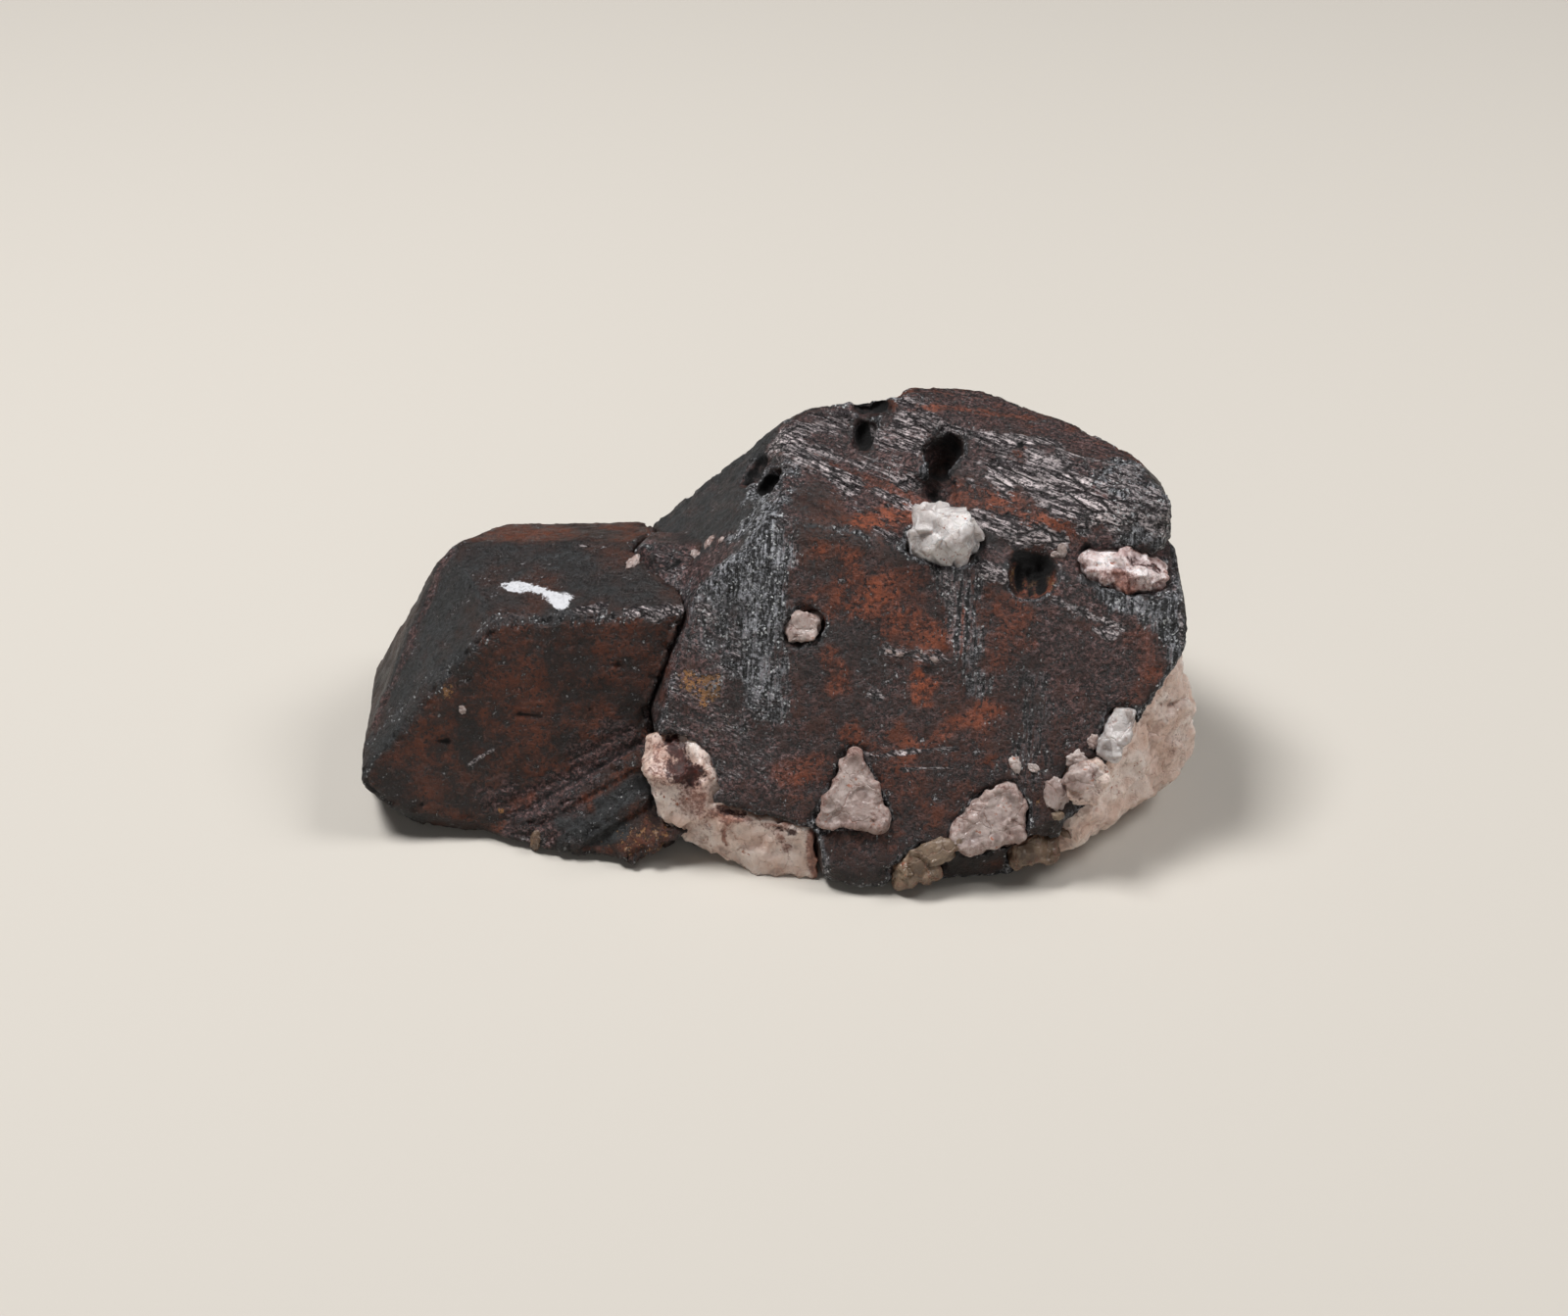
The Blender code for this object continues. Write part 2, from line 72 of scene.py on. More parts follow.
# Two vertices of a frame node closer than this are one, in metres.
WELD = 1e-7

# The way that the thin parting layers run over the tops, the oblique ledges where the small
# crystal is broken, and the striations down the large crystal's front.
PARTING = (0.85, -0.53, -0.02)
LEDGE_TREND = (0.861, 0.217, 0.459)
FALL_LINE = (-0.06, -0.59, -0.80)

# The direction that the large crystal's front looks to, and how far out that face is, in mm.
LARGE_FRONT = (-0.056, -0.803, 0.593)
FRONT_REACH = 17.9

# The way that the beds of the knob and the vein open, in the large crystal's top.
BED_OPENS = (0.0, -0.3, 0.95)

# Where the small crystal meets its neighbours.
TOWARDS_LARGE = (0.94, -0.17, -0.3)

# How far a point stands out from a smoother surface, in mm, where wear starts and is full; the
# same where an edge has broken to grit; and how deep it lies where painted shade starts and is
# full.
WORN_OUT = (0.04, 0.22)
EDGE_OUT = (0.06, 0.26)
HOLLOW_IN = (0.10, 0.38)

# How unevenly edges are worn, and in patches of what size in mm.
UNEVEN_WEAR = 0.8
WEAR_PATCH = 2.2

# How raggedly a mark ends, as a share of its half width, and over what size in mm.
MARK_WOBBLE = 1.1
MARK_RAGS = 2.6

# A stepped layer's heights are rounded to this many steps in a millimetre.
LAYER_STEPS = 4

# How much of what a flush quartz piece stands proud is pressed down, and what is left, in mm.
PRESSED = 0.75
LEFT_PROUD = 0.1

# Rounds of smoothing that find the hollows of a quartz piece.
QUARTZ_CALM = 16


class Cover(Enum):
    """What lies on a mineral, or how it is broken. The value is its attribute's name."""

    SLATE = "slate"
    FILM = "iron_film"
    RUST = "orange_rust"
    TARNISH = "purple_tarnish"
    GRIT = "sparkling_grit"
    SILVER = "silvery_parting"
    OCHRE = "ochre_specks"
    CHALK = "white_chalk"
    # Painted shade: pits, hollows and sunk seams are drawn near black on ferberite; on quartz it is
    # dark iron stain with painted shade.
    PIT_SHADE = "painted_pit_shade"
    STAIN = "iron_stain"


@dataclass(frozen=True)
class PhotoCamera:
    """The photograph's camera, in millimetres and pixels of the 1600 by 1343 frame."""

    width: int = 1600
    height: int = 1343
    focal: float = 2406.0
    tilt: float = 38.1
    place: tuple[float, float, float] = (0.822, -173.737, 146.5)
    sensor: float = 36.0

    def ray(self, px: float, py: float) -> Vector:
        """The direction in which the camera sees a pixel.

        Args:
            px: Pixels from the photograph's left edge.
            py: Pixels from its top edge.

        Returns:
            A unit vector in the frame's axes.
        """
        down = math.radians(self.tilt)
        ahead = Vector((0, math.cos(down), -math.sin(down)))
        above = Vector((0, math.sin(down), math.cos(down)))
        right = Vector((1, 0, 0))
        across = (px - self.width / 2) / self.focal
        upward = (self.height / 2 - py) / self.focal
        return (ahead + right * across + above * upward).normalized()

    def make(self) -> bpy.types.Object:
        """Makes Blender's camera, and returns it."""
        data = bpy.data.cameras.new("photo_camera")
        data.sensor_width = self.sensor
        data.lens = self.focal / self.width * self.sensor
        data.clip_start = 0.01
        camera = bpy.data.objects.new("photo_camera", data)
        camera.location = Vector(self.place) * MM
        camera.rotation_euler = (math.radians(90 - self.tilt), 0, 0)
        bpy.context.scene.collection.objects.link(camera)
        bpy.context.scene.camera = camera
        return camera


@dataclass(frozen=True)
class Mark:
    """A patch or a streak on the specimen, placed by the pixels that its middle line passes.

    cover: what it is. path: its middle line in the photograph, one pixel for a round patch.
    width: how wide it is, in mm. amount: how much of the surface it takes along its middle,
    where a negative one wipes that share of the cover away. relief: how far it stands out, in
    mm, or is sunk if it is negative.
    """

    cover: Cover
    path: tuple[tuple[float, float], ...]
    width: float
    amount: float = 1.0
    relief: float = 0.0


@dataclass(frozen=True)
class FacetLook:
    """What covers all of a crystal that looks one way: azimuth and dip as in the frame's source.

    azimuth: 0 is +Y and 90 is +X. dip: 0 is up. reach: how many degrees from it still count.
    """

    azimuth: float
    dip: float
    reach: float
    covers: dict[Cover, float]

    def way(self) -> np.ndarray:
        """The unit vector that the facet looks along."""
        turn, lean = math.radians(self.azimuth), math.radians(self.dip)
        return np.array(
            (math.sin(turn) * math.sin(lean), math.cos(turn) * math.sin(lean), math.cos(lean))
        )


def smooth_step(values: np.ndarray, low: float, high: float) -> np.ndarray:
    """Rises smoothly from 0 at low to 1 at high."""
    share = np.clip((values - low) / (high - low), 0, 1)
    return share * share * (3 - 2 * share)


def shift_of(seed: int) -> Vector:
    """A place far from the others in the noises, for each seed."""
    return Vector((seed * 17.3, seed * 5.1, seed * 9.7))


def roughness_of(points: np.ndarray, size: float, octaves: int = 3, seed: int = 0) -> np.ndarray:
    """Fractal noise at points, from about -0.6 to 0.6.

    Args:
        points: Places in mm, one row each.
        size: The size of its largest lumps, in mm.
        octaves: How many finer noises are added, each half as large as the last.
        seed: Which noise of that kind.

    Returns:
        One number for each point.
    """
    shift = shift_of(seed)
    return np.array([noise.fractal(Vector(p) + shift, 1.0, 2.0, octaves) for p in points / size])


def fractures_of(points: np.ndarray, size: float, slope: float, seed: int = 0) -> np.ndarray:
    """The heights of a broken surface, where each cell is flat and leans its own way.

    Args:
        points: Places in mm, one row each.
        size: How wide the cells are, in mm.
        slope: How steeply they lean, where 1 is 45 degrees.
        seed: Which broken surface.

    Returns:
        A height in mm for each point.
    """
    shift, middle = shift_of(seed), Vector((0.5, 0.5, 0.5))
    heights = []
    for point in points / size:
        place = Vector(point) + shift
        centre = noise.voronoi(place)[1][0]
        lean = noise.cell_vector(centre * 7.3) - middle
        heights.append(lean.dot(place - centre))
    return np.array(heights) * size * slope * 2


def stretched(points: np.ndarray, along: tuple, length: float) -> np.ndarray:
    """The points squeezed along a direction, so that a noise on them comes out as streaks.

    Args:
        points: Places in mm, one row each.
        along: The direction of the streaks.
        length: How many times as long as wide they are.

    Returns:
        The squeezed places.
    """
    way = np.array(Vector(along).normalized())
    reach = points @ way
    return points + np.outer(reach * (1 / length - 1), way)


class Skin:
    """The surface of a remeshed piece, in mm, and what is worked out over it."""

    def __init__(self, mesh: bpy.types.Mesh) -> None:
        """Reads a mesh that is in metres."""
        count = len(mesh.vertices)
        flat = np.empty(count * 3, np.float32)
        mesh.vertices.foreach_get("co", flat)
        self.points = flat.reshape(-1, 3).astype(float) / MM
        ends = np.empty(len(mesh.edges) * 2, np.int32)
        mesh.edges.foreach_get("vertices", ends)
        self.ends = ends.reshape(-1, 2)
        self.valence = np.bincount(self.ends.ravel(), minlength=count)
        self.mesh = mesh
        self.normals = np.empty((count, 3))
        self.edges = np.zeros(count)
        self.hollows = np.zeros(count)

    def averaged(self, values: np.ndarray, rounds: int) -> np.ndarray:
        """Values with each vertex drawn halfway to the mean of its neighbours, several times.

        Args:
            values: One row, or one number, for each vertex.
            rounds: How many times.

        Returns:
            The smoothed values, in the same shape.
        """
        wide = values.reshape(len(values), -1)
        first, second = self.ends.T
        for _ in range(rounds):
            columns = []
            for column in wide.T:
                total = np.bincount(first, column[second], len(column))
                total += np.bincount(second, column[first], len(column))
                columns.append((column + total / self.valence) / 2)
            wide = np.stack(columns, 1)
        return wide.reshape(values.shape)

    def read_normals(self) -> None:
        """Writes the points to the mesh and reads its normals back."""
        self.write()
        flat = np.empty(len(self.points) * 3, np.float32)
        self.mesh.vertex_normals.foreach_get("vector", flat)
        self.normals = flat.reshape(-1, 3).astype(float)

    def write(self) -> None:
        """Writes the points back to the mesh, in metres."""
        self.mesh.vertices.foreach_set("co", (self.points * MM).astype(np.float32).ravel())
        self.mesh.update()

    def over(self, calm: np.ndarray) -> np.ndarray:
        """How far each vertex stands out from a smoother surface, in mm."""
        return np.einsum("ij,ij->i", self.points - calm, self.normals)

    def distance_to(self, path: list[Vector]) -> np.ndarray:
        """How far each vertex is from a line.

        Args:
            path: The points that the line passes, in mm. It may be a single one.

        Returns:
            A distance in mm for each vertex.
        """
        nearest = np.full(len(self.points), np.inf)
        stretches = list(zip(path, path[1:])) or [(path[0], path[0])]
        for start, end in stretches:
            begin, run = np.array(start), np.array(end - start)
            size = max(run @ run, 1e-9)
            share = np.clip(((self.points - begin) @ run) / size, 0, 1)
            foot = begin + np.outer(share, run)
            nearest = np.minimum(nearest, np.linalg.norm(self.points - foot, axis=1))
        return nearest

    def set_cover(self, cover: Cover, values: np.ndarray) -> None:
        """Keeps a cover's amounts as an attribute of the mesh."""
        layer = self.mesh.attributes.new(cover.value, "FLOAT", "POINT")
        layer.data.foreach_set("value", np.clip(values, 0, 1).astype(np.float32))


class Sight:
    """Finds the place on the specimen that a pixel of the photograph shows."""

    def __init__(self, camera: PhotoCamera) -> None:
        """Makes a search tree of each node of the frame."""
        self.camera = camera
        self.trees = {}
        for name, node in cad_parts.items():
            shape = bmesh.new()
            shape.from_mesh(node.data)
            self.trees[name] = BVHTree.FromBMesh(shape)
            shape.free()

    def meet(
        self, px: float, py: float, wanted: str | None = None
    ) -> tuple[str, Vector, Vector] | None:
        """The first surface that a pixel's ray meets.

        Args:
            px: Pixels from the photograph's left edge.
            py: Pixels from its top edge.
            wanted: Look at this node alone.

        Returns:
            The node's name, the place in mm and the normal there, or None past the outline.
        """
        eye, way = Vector(self.camera.place) * MM, self.camera.ray(px, py)
        found = None
        for name, tree in self.trees.items():
            if wanted and name != wanted:
                continue
            place, normal, _, distance = tree.ray_cast(eye, way)
            if place is not None and (found is None or distance < found[0]):
                found = (distance, name, place / MM, normal)
        return found[1:] if found else None

    def path(self, mark: Mark) -> tuple[str, list[Vector]] | None:
        """Finds where a mark lies.

        Args:
            mark: The mark, placed by its pixels.

        Returns:
            The node that it is on and its middle line there in mm, or None past the outline.
        """
        hits = [self.meet(px, py) for px, py in mark.path]
        names = [hit[0] for hit in hits if hit]
        if not names:
            return None
        name = max(names, key=names.count)
        places = [self.meet(px, py, name) for px, py in mark.path]
        return name, [hit[1] for hit in places if hit]


@dataclass
class Relief:
    """The relief of a piece: how high each kind of roughness is, and how wide its lumps, in mm.

    fracture: how steeply the flat breaks lean, where 1 is 45 degrees. The lengths say how many
    times as long as wide the striations, the layers and the ledges are.
    """

    waves: float = 0.16
    wave_size: float = 6.0
    grain: float = 0.07
    grain_size: float = 1.3
    fracture: float = 0.0
    fracture_size: float = 2.0
    ragged: float = 0.0
    ragged_size: float = 1.0
    grit: float = 0.16
    grit_size: float = 0.8
    nicks: float = 0.4
    nick_size: float = 1.3
    striations: float = 0.14
    striation_size: float = 0.75
    striation_length: float = 9.0
    layers: float = 0.22
    layer_width: float = 1.2
    layer_length: float = 8.0
    ledge_size: float = 0.9
    ledge_length: float = 7.0


@dataclass
class DressedPiece:
    """A fine, worn copy of one node of the frame, which stands for it.

    voxel: the size of the remesh. wear: rounds of smoothing all over. edge_wear: rounds along
    its edges, which round them. swell: how far it is grown sideways, to close the clearance to
    its neighbours, in mm. towards: where they are, or None if they are all round it. open_side:
    the way that it then shows.
    """

    node: str
    slot: str
    voxel: float
    wear: int
    material: bpy.types.Material
    edge_wear: int = 0
    swell: float = 0.0
    relief: Relief = field(default_factory=Relief)
    looks: tuple[FacetLook, ...] = ()
    seed: int = 0
    towards: tuple[float, float, float] | None = None
    open_side: tuple[float, float, float] = LARGE_FRONT

    def copied(self) -> bpy.types.Object:
        """A copy of the node, its doubles merged and its surface remeshed into even quads."""
        shape = bmesh.new()
        shape.from_mesh(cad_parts[self.node].data)
        bmesh.ops.remove_doubles(shape, verts=shape.verts, dist=WELD)
        rough = bpy.data.meshes.new(f"{self.node}_rough")
        shape.to_mesh(rough)
        shape.free()
        rough.materials.clear()
        piece = bpy.data.objects.new(f"dressed_{self.node}", rough)
        bpy.context.scene.collection.objects.link(piece)
        remesh = piece.modifiers.new("fine quads", "REMESH")
        remesh.mode = "VOXEL"
        remesh.voxel_size = self.voxel * MM
        remesh.use_smooth_shade = True
        graph = bpy.context.evaluated_depsgraph_get()
        fine = bpy.data.meshes.new_from_object(piece.evaluated_get(graph))
        piece.modifiers.clear()
        piece.data = fine
        fine.name = piece.name
        bpy.data.meshes.remove(rough)
        return piece

    def wear_down(self, skin: Skin) -> None:
        """Smooths the piece a little, and rounds its edges more and unevenly.

        Args:
            skin: The surface, whose points it moves and whose edges and hollows it finds.
        """
        skin.points = skin.averaged(skin.points, self.wear)
        skin.read_normals()
        if self.edge_wear:
            calm = skin.averaged(skin.points, self.edge_wear)
            uneven = 1 + UNEVEN_WEAR * roughness_of(skin.points, WEAR_PATCH, 3, self.seed + 9)
            share = smooth_step(skin.over(calm) * uneven, *WORN_OUT)
            calmest = skin.averaged(calm, self.edge_wear * 2)
            skin.edges = smooth_step(skin.over(calmest), *EDGE_OUT)
            skin.hollows = smooth_step(-skin.over(calmest), *HOLLOW_IN)
            skin.points += (calm - skin.points) * share[:, None]
            skin.read_normals()

    def covers(self, skin: Skin, marks: list[tuple[Mark, list[Vector]]]) -> dict[Cover, np.ndarray]:
        """The amount of each cover at each vertex.

        Args:
            skin: The surface, with its normals read.
            marks: The marks on this piece, with their middle lines.

        Returns:
            An array for each kind of cover.
        """
        count = len(skin.points)
        amounts = {cover: np.zeros(count) for cover in Cover}
        facing = skin.averaged(skin.normals, 6)
        facing /= np.linalg.norm(facing, axis=1)[:, None]
        for look in self.looks:
            edge = math.cos(math.radians(look.reach))
            near = smooth_step(facing @ look.way(), edge, (edge + 1) / 2)
            for cover, amount in look.covers.items():
                amounts[cover] = amounts[cover] * (1 - near) + amount * near
        wobble = MARK_WOBBLE * roughness_of(skin.points, MARK_RAGS, 4, self.seed + 11)
        for mark, path in marks:
            away = skin.distance_to(path) / (mark.width / 2)
            near = smooth_step(-away - wobble, -1.5, -0.4)
            if mark.amount < 0:
                amounts[mark.cover] *= 1 + mark.amount * near
            else:
                amounts[mark.cover] = np.maximum(amounts[mark.cover], near * mark.amount)
        return amounts

    def heights(
        self, skin: Skin, amounts: dict[Cover, np.ndarray], marks: list[tuple[Mark, list[Vector]]]
    ) -> np.ndarray:
        """How far each vertex moves out along its normal.

        Args:
            skin: The worn surface.
            amounts: The amount of each cover at each vertex.
            marks: The marks on this piece, with their middle lines.

        Returns:
            A height in mm for each vertex.
        """
        points, relief = skin.points, self.relief
        moved = relief.waves * roughness_of(points, relief.wave_size, 2, self.seed)
        moved += relief.grain * roughness_of(points, relief.grain_size, 3, self.seed + 1)
        if relief.fracture:
            broken = fractures_of(points, relief.fracture_size, relief.fracture, self.seed + 2)
            moved += skin.averaged(broken, 1)
        for mark, path in marks:
            if mark.relief:
                away = skin.distance_to(path) / (mark.width / 2)
                moved += smooth_step(-away, -1.2, -0.4) * mark.relief
        ragged = relief.ragged * roughness_of(points, relief.ragged_size, 3, self.seed + 8)
        return moved + (self.swell + ragged) * self.sideways(skin)

    def sideways(self, skin: Skin) -> np.ndarray:
        """How much each vertex faces the neighbours.

        Args:
            skin: The surface, with its normals read.

        Returns:
            A share from 0 to 1 for each vertex.
        """
        if self.towards:
            return smooth_step(skin.normals @ np.array(self.towards), 0.1, 0.6)
        return 1 - smooth_step(skin.normals @ np.array(self.open_side), 0.6, 0.95)

    def build(self, sight_marks: dict[str, list[tuple[Mark, list[Vector]]]]) -> bpy.types.Object:
        """Makes the piece, ties it to the frame and returns it.

        Args:
            sight_marks: The marks on each node, with their middle lines.

        Returns:
            The piece's object.
        """
        marks = sight_marks.get(self.node, [])
        piece = self.copied()
        skin = Skin(piece.data)
        self.wear_down(skin)
        amounts = self.covers(skin, marks)
        self.finish_covers(skin, amounts)
        skin.points += skin.normals * self.heights(skin, amounts, marks)[:, None]
        low, high = (np.array(corner) / MM for corner in cad_box)
        skin.points = np.clip(skin.points, low, high)
        skin.write()
        for cover, values in amounts.items():
            skin.set_cover(cover, values)
        piece.data.materials.append(self.material)
        piece.data.shade_smooth()
        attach(piece, "root")
        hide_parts(self.node)
        log.info("%s: %d faces", piece.name, len(piece.data.polygons))
        return piece

    def finish_covers(self, skin: Skin, amounts: dict[Cover, np.ndarray]) -> None:
        """Adds what follows from the shape to the covers."""


@dataclass
class Crystal(DressedPiece):
    """A ferberite crystal: worn granular edges, thin parting layers, striations and pits."""

    striated: float = 0.0
    layered: float = 0.0
    ledged: float = 0.0
    sparkling: float = 0.8

    def finish_covers(self, skin: Skin, amounts: dict[Cover, np.ndarray]) -> None:
        """Breaks the edges into grit, and paints shade into what lies deep.

        Args:
            skin: The worn surface.
            amounts: The amounts of the covers, which it changes.
        """
        patchy = 0.85 + 0.6 * roughness_of(skin.points, 3.0, 3, self.seed + 7)
        worn = np.clip(skin.edges * patchy, 0, 1)
        amounts[Cover.GRIT] = np.maximum(amounts[Cover.GRIT], worn * self.sparkling)
        amounts[Cover.FILM] *= 1 - 0.5 * worn
        rusty = np.maximum(amounts[Cover.RUST], amounts[Cover.OCHRE])
        # Painted shade in the hollows, less where rust or ochre lies.
        amounts[Cover.PIT_SHADE] = np.maximum(amounts[Cover.PIT_SHADE], skin.hollows * (1 - 0.6 * rusty))

    def heights(
        self, skin: Skin, amounts: dict[Cover, np.ndarray], marks: list[tuple[Mark, list[Vector]]]
    ) -> np.ndarray:
        """Adds chipped edges, striations, parting layers and oblique ledges to the relief.

        Args:
            skin: The worn surface.
            amounts: The amount of each cover at each vertex.
            marks: The marks on this crystal, with their middle lines.

        Returns:
            A height in mm for each vertex.
        """
        moved = super().heights(skin, amounts, marks)
        points, relief = skin.points, self.relief
        rough = np.maximum(amounts[Cover.GRIT], 0.5 * amounts[Cover.TARNISH])
        moved += relief.grit * rough * roughness_of(points, relief.grit_size, 3, self.seed + 2)
        nicks = smooth_step(roughness_of(points, relief.nick_size, 3, self.seed + 6), 0.0, 0.45)
        moved -= relief.nicks * skin.edges * nicks
        if self.striated:
            drawn = stretched(points, FALL_LINE, relief.striation_length)
            lines = roughness_of(drawn, relief.striation_size, 3, self.seed + 3)
            front = smooth_step(skin.normals @ np.array(LARGE_FRONT), 0.8, 0.95)
            share = 0.3 + 0.7 * amounts[Cover.GRIT]
            moved += relief.striations * self.striated * lines * front * share
        if self.layered:
            drawn = stretched(points, PARTING, relief.layer_length)
            lines = roughness_of(drawn, relief.layer_width, 3, self.seed + 4)
            steps = np.round(lines * LAYER_STEPS) / LAYER_STEPS
            upward = smooth_step(skin.normals[:, 2], 0.84, 0.95)
            share = np.maximum(amounts[Cover.SILVER], 0.35)
            moved += relief.layers * self.layered * steps * upward * share
        if self.ledged:
            drawn = stretched(points, LEDGE_TREND, relief.ledge_length)
            lines = roughness_of(drawn, relief.ledge_size, 3, self.seed + 5)
            steps = np.round(lines * LAYER_STEPS) / LAYER_STEPS
            moved += self.ledged * steps * amounts[Cover.TARNISH]
        return moved


@dataclass
class QuartzPiece(DressedPiece):
    """A piece of broken milky quartz.

    rim: how much iron stains it where it meets ferberite. flush: whether it was broken off with
    the large crystal's front, and hardly stands out from it.
    """

    rim: float = 0.0
    flush: bool = False

    def heights(
        self, skin: Skin, amounts: dict[Cover, np.ndarray], marks: list[tuple[Mark, list[Vector]]]
    ) -> np.ndarray:
        """Presses a flush piece down to the large crystal's front before its relief is added.

        Args:
            skin: The worn surface, whose points it may move.
            amounts: The amount of each cover at each vertex.
            marks: The marks on this piece, with their middle lines.

        Returns:
            A height in mm for each vertex.
        """
        if self.flush:
            way = np.array(LARGE_FRONT)
            proud = np.maximum(skin.points @ way - FRONT_REACH - LEFT_PROUD, 0)
            skin.points -= np.outer(proud * PRESSED, way)
        return super().heights(skin, amounts, marks)

    def finish_covers(self, skin: Skin, amounts: dict[Cover, np.ndarray]) -> None:
        """Stains the hollows and the rim.

        Args:
            skin: The worn surface.
            amounts: The amounts of the covers, which it changes.
        """
        deep = -skin.over(skin.averaged(skin.points, QUARTZ_CALM))
        stained = np.maximum(smooth_step(deep, 0.08, 0.35) * 0.5, self.sideways(skin) * self.rim)
        amounts[Cover.STAIN] = np.maximum(amounts[Cover.STAIN], stained)


def to_linear(code: str) -> tuple[float, float, float, float]:
    """An sRGB hex colour such as #a0b1c2 as linear red, green, blue and 1."""
    parts = [int(code[at : at + 2], 16) / 255 for at in (1, 3, 5)]
    return (*(p / 12.92 if p <= 0.04045 else ((p + 0.055) / 1.055) ** 2.4 for p in parts), 1.0)


def per_metre(size: float) -> float:
    """The Scale of a texture on Object coordinates whose features are size mm large."""
    return 1 / (size * MM)


def add(
    tree: bpy.types.NodeTree, kind: str, inputs: dict | None = None, **settings
) -> bpy.types.Node:
    """Adds a shader node.

    Args:
        tree: The material's node tree.
        kind: The node's type without ShaderNode, such as TexNoise.
        inputs: A value or a socket to link for each input, by its name or number.
        **settings: The node's own properties.

    Returns:
        The node.
    """
    node = tree.nodes.new(f"ShaderNode{kind}")
    for name, value in settings.items():
        setattr(node, name, value)
    for name, value in (inputs or {}).items():
        if isinstance(value, bpy.types.NodeSocket):
            tree.links.new(value, node.inputs[name])
        else:
            node.inputs[name].default_value = value
    return node


@dataclass(frozen=True)
class Grains:
    """The sockets of a surface of grains, each flat and leaning its own way.

    height: its relief in mm. lot, other: two random numbers from 0 to 1 that each grain has.
    """

    height: bpy.types.NodeSocket
    lot: bpy.types.NodeSocket
    other: bpy.types.NodeSocket


class Palette:
    """The nodes that the mineral finishes share."""

    def __init__(self, name: str) -> None:
        """Starts a material with a Principled shader and the piece's own coordinates."""
        self.material = bpy.data.materials.new(name)
        self.material.use_nodes = True
        self.tree = self.material.node_tree
        self.shader = self.tree.nodes["Principled BSDF"]
        self.place = self.node("TexCoord").outputs["Object"]

    def node(self, kind: str, inputs: dict | None = None, **settings) -> bpy.types.Node:
        """Adds a node to this material."""
        return add(self.tree, kind, inputs, **settings)

    def clouds(
        self,
        size: float,
        detail: float = 4,
        rough: float = 0.6,
        where: bpy.types.NodeSocket | None = None,
    ) -> bpy.types.NodeSocket:
        """A cloudy noise, spread evenly from 0 to 1.

        Args:
            size: The size of its lumps in mm.
            detail: How many finer noises it has.
            rough: How strong they are.
            where: Coordinates other than the piece's own.

        Returns:
            The socket of its value.
        """
        inputs = {"Vector": where or self.place, "Scale": per_metre(size), "Detail": detail}
        raw = self.node("TexNoise", {**inputs, "Roughness": rough}).outputs["Fac"]
        spread = {"Value": raw, "From Min": 0.34, "From Max": 0.66}
        return self.node("MapRange", spread).outputs["Result"]

    def grains(self, size: float, slope: float) -> Grains:
        """A surface of flat grains.

        Args:
            size: How wide they are, in mm.
            slope: How steeply they lean at most, where 1 is 45 degrees.

        Returns:
            Its relief and two random numbers for each grain.
        """
        cells = self.node("TexVoronoi", {"Vector": self.place, "Scale": per_metre(size)})
        from_centre = {0: self.place, 1: cells.outputs["Position"]}
        aside = self.node("VectorMath", from_centre, operation="SUBTRACT")
        from_grey = {0: cells.outputs["Color"], 1: (0.5, 0.5, 0.5)}
        lean = self.node("VectorMath", from_grey, operation="SUBTRACT")
        both = {0: aside.outputs[0], 1: lean.outputs[0]}
        rise = self.node("VectorMath", both, operation="DOT_PRODUCT")
        parts = self.node("SeparateColor", {0: cells.outputs["Color"]})
        height = self.maths("MULTIPLY", rise.outputs["Value"], slope * 2 / MM)
        return Grains(height, parts.outputs[0], parts.outputs[1])

    def squeezed(self, along: tuple, length: float) -> bpy.types.NodeSocket:
        """Coordinates on which a noise comes out as streaks.

        Args:
            along: The direction of the streaks.
            length: How many times as long as wide they are.

        Returns:
            The socket of the coordinates.
        """
        front = Vector(along).normalized()
        turn = front.to_track_quat("X", "Z").inverted().to_euler()
        turned = self.node("Mapping", {"Vector": self.place, "Rotation": turn}).outputs[0]
        return self.node("Mapping", {"Vector": turned, "Scale": (1 / length, 1, 1)}).outputs[0]

    def maths(self, operation: str, first, second=0.5, third=0.5) -> bpy.types.NodeSocket:
        """A Math node's result."""
        inputs = {0: first, 1: second, 2: third}
        return self.node("Math", inputs, operation=operation).outputs[0]

    def sum_of(self, *terms: tuple) -> bpy.types.NodeSocket:
        """The sum of some sockets.

        Args:
            *terms: A socket and the number that it is multiplied by, for each.

        Returns:
            The socket of the sum.
        """
        total = self.maths("MULTIPLY", *terms[0])
        for value, share in terms[1:]:
            total = self.maths("MULTIPLY_ADD", value, share, total)
        return total

    def ramp(self, value, low: float, high: float, start=0.0, end=1.0) -> bpy.types.NodeSocket:
        """A value turned smoothly from the range low to high into the range start to end."""
        inputs = {"Value": value, "From Min": low, "From Max": high, "To Min": start, "To Max": end}
        return self.node("MapRange", inputs, interpolation_type="SMOOTHSTEP").outputs["Result"]

    def amount(self, cover: Cover) -> bpy.types.NodeSocket:
        """A cover's amount, as the mesh holds it."""
        return self.node("Attribute", attribute_name=cover.value).outputs["Fac"]

    def mask(self, cover: Cover, chance, soft: float = 0.15) -> bpy.types.NodeSocket:
        """Where a cover lies: it takes the share of the surface that its amount says."""
        left = self.maths("SUBTRACT", self.amount(cover), chance)
        return self.ramp(left, -soft, soft)

    def mix(self, share, below, above, kind: str = "MIX") -> bpy.types.NodeSocket:
        """One colour over another.

        Args:
            share: How much of the upper one shows.
            below: The lower one, a hex code or a socket.
            above: The upper one, the same.
            kind: How they are mixed.

        Returns:
            The socket of the colour.
        """
        below, above = (to_linear(c) if isinstance(c, str) else c for c in (below, above))
        inputs = {0: share, 6: below, 7: above}
        return self.node("Mix", inputs, data_type="RGBA", blend_type=kind).outputs[2]

    def blend(self, share, below, above) -> bpy.types.NodeSocket:
        """One number over another."""
        return self.node("Mix", {0: share, 2: below, 3: above}, data_type="FLOAT").outputs[0]

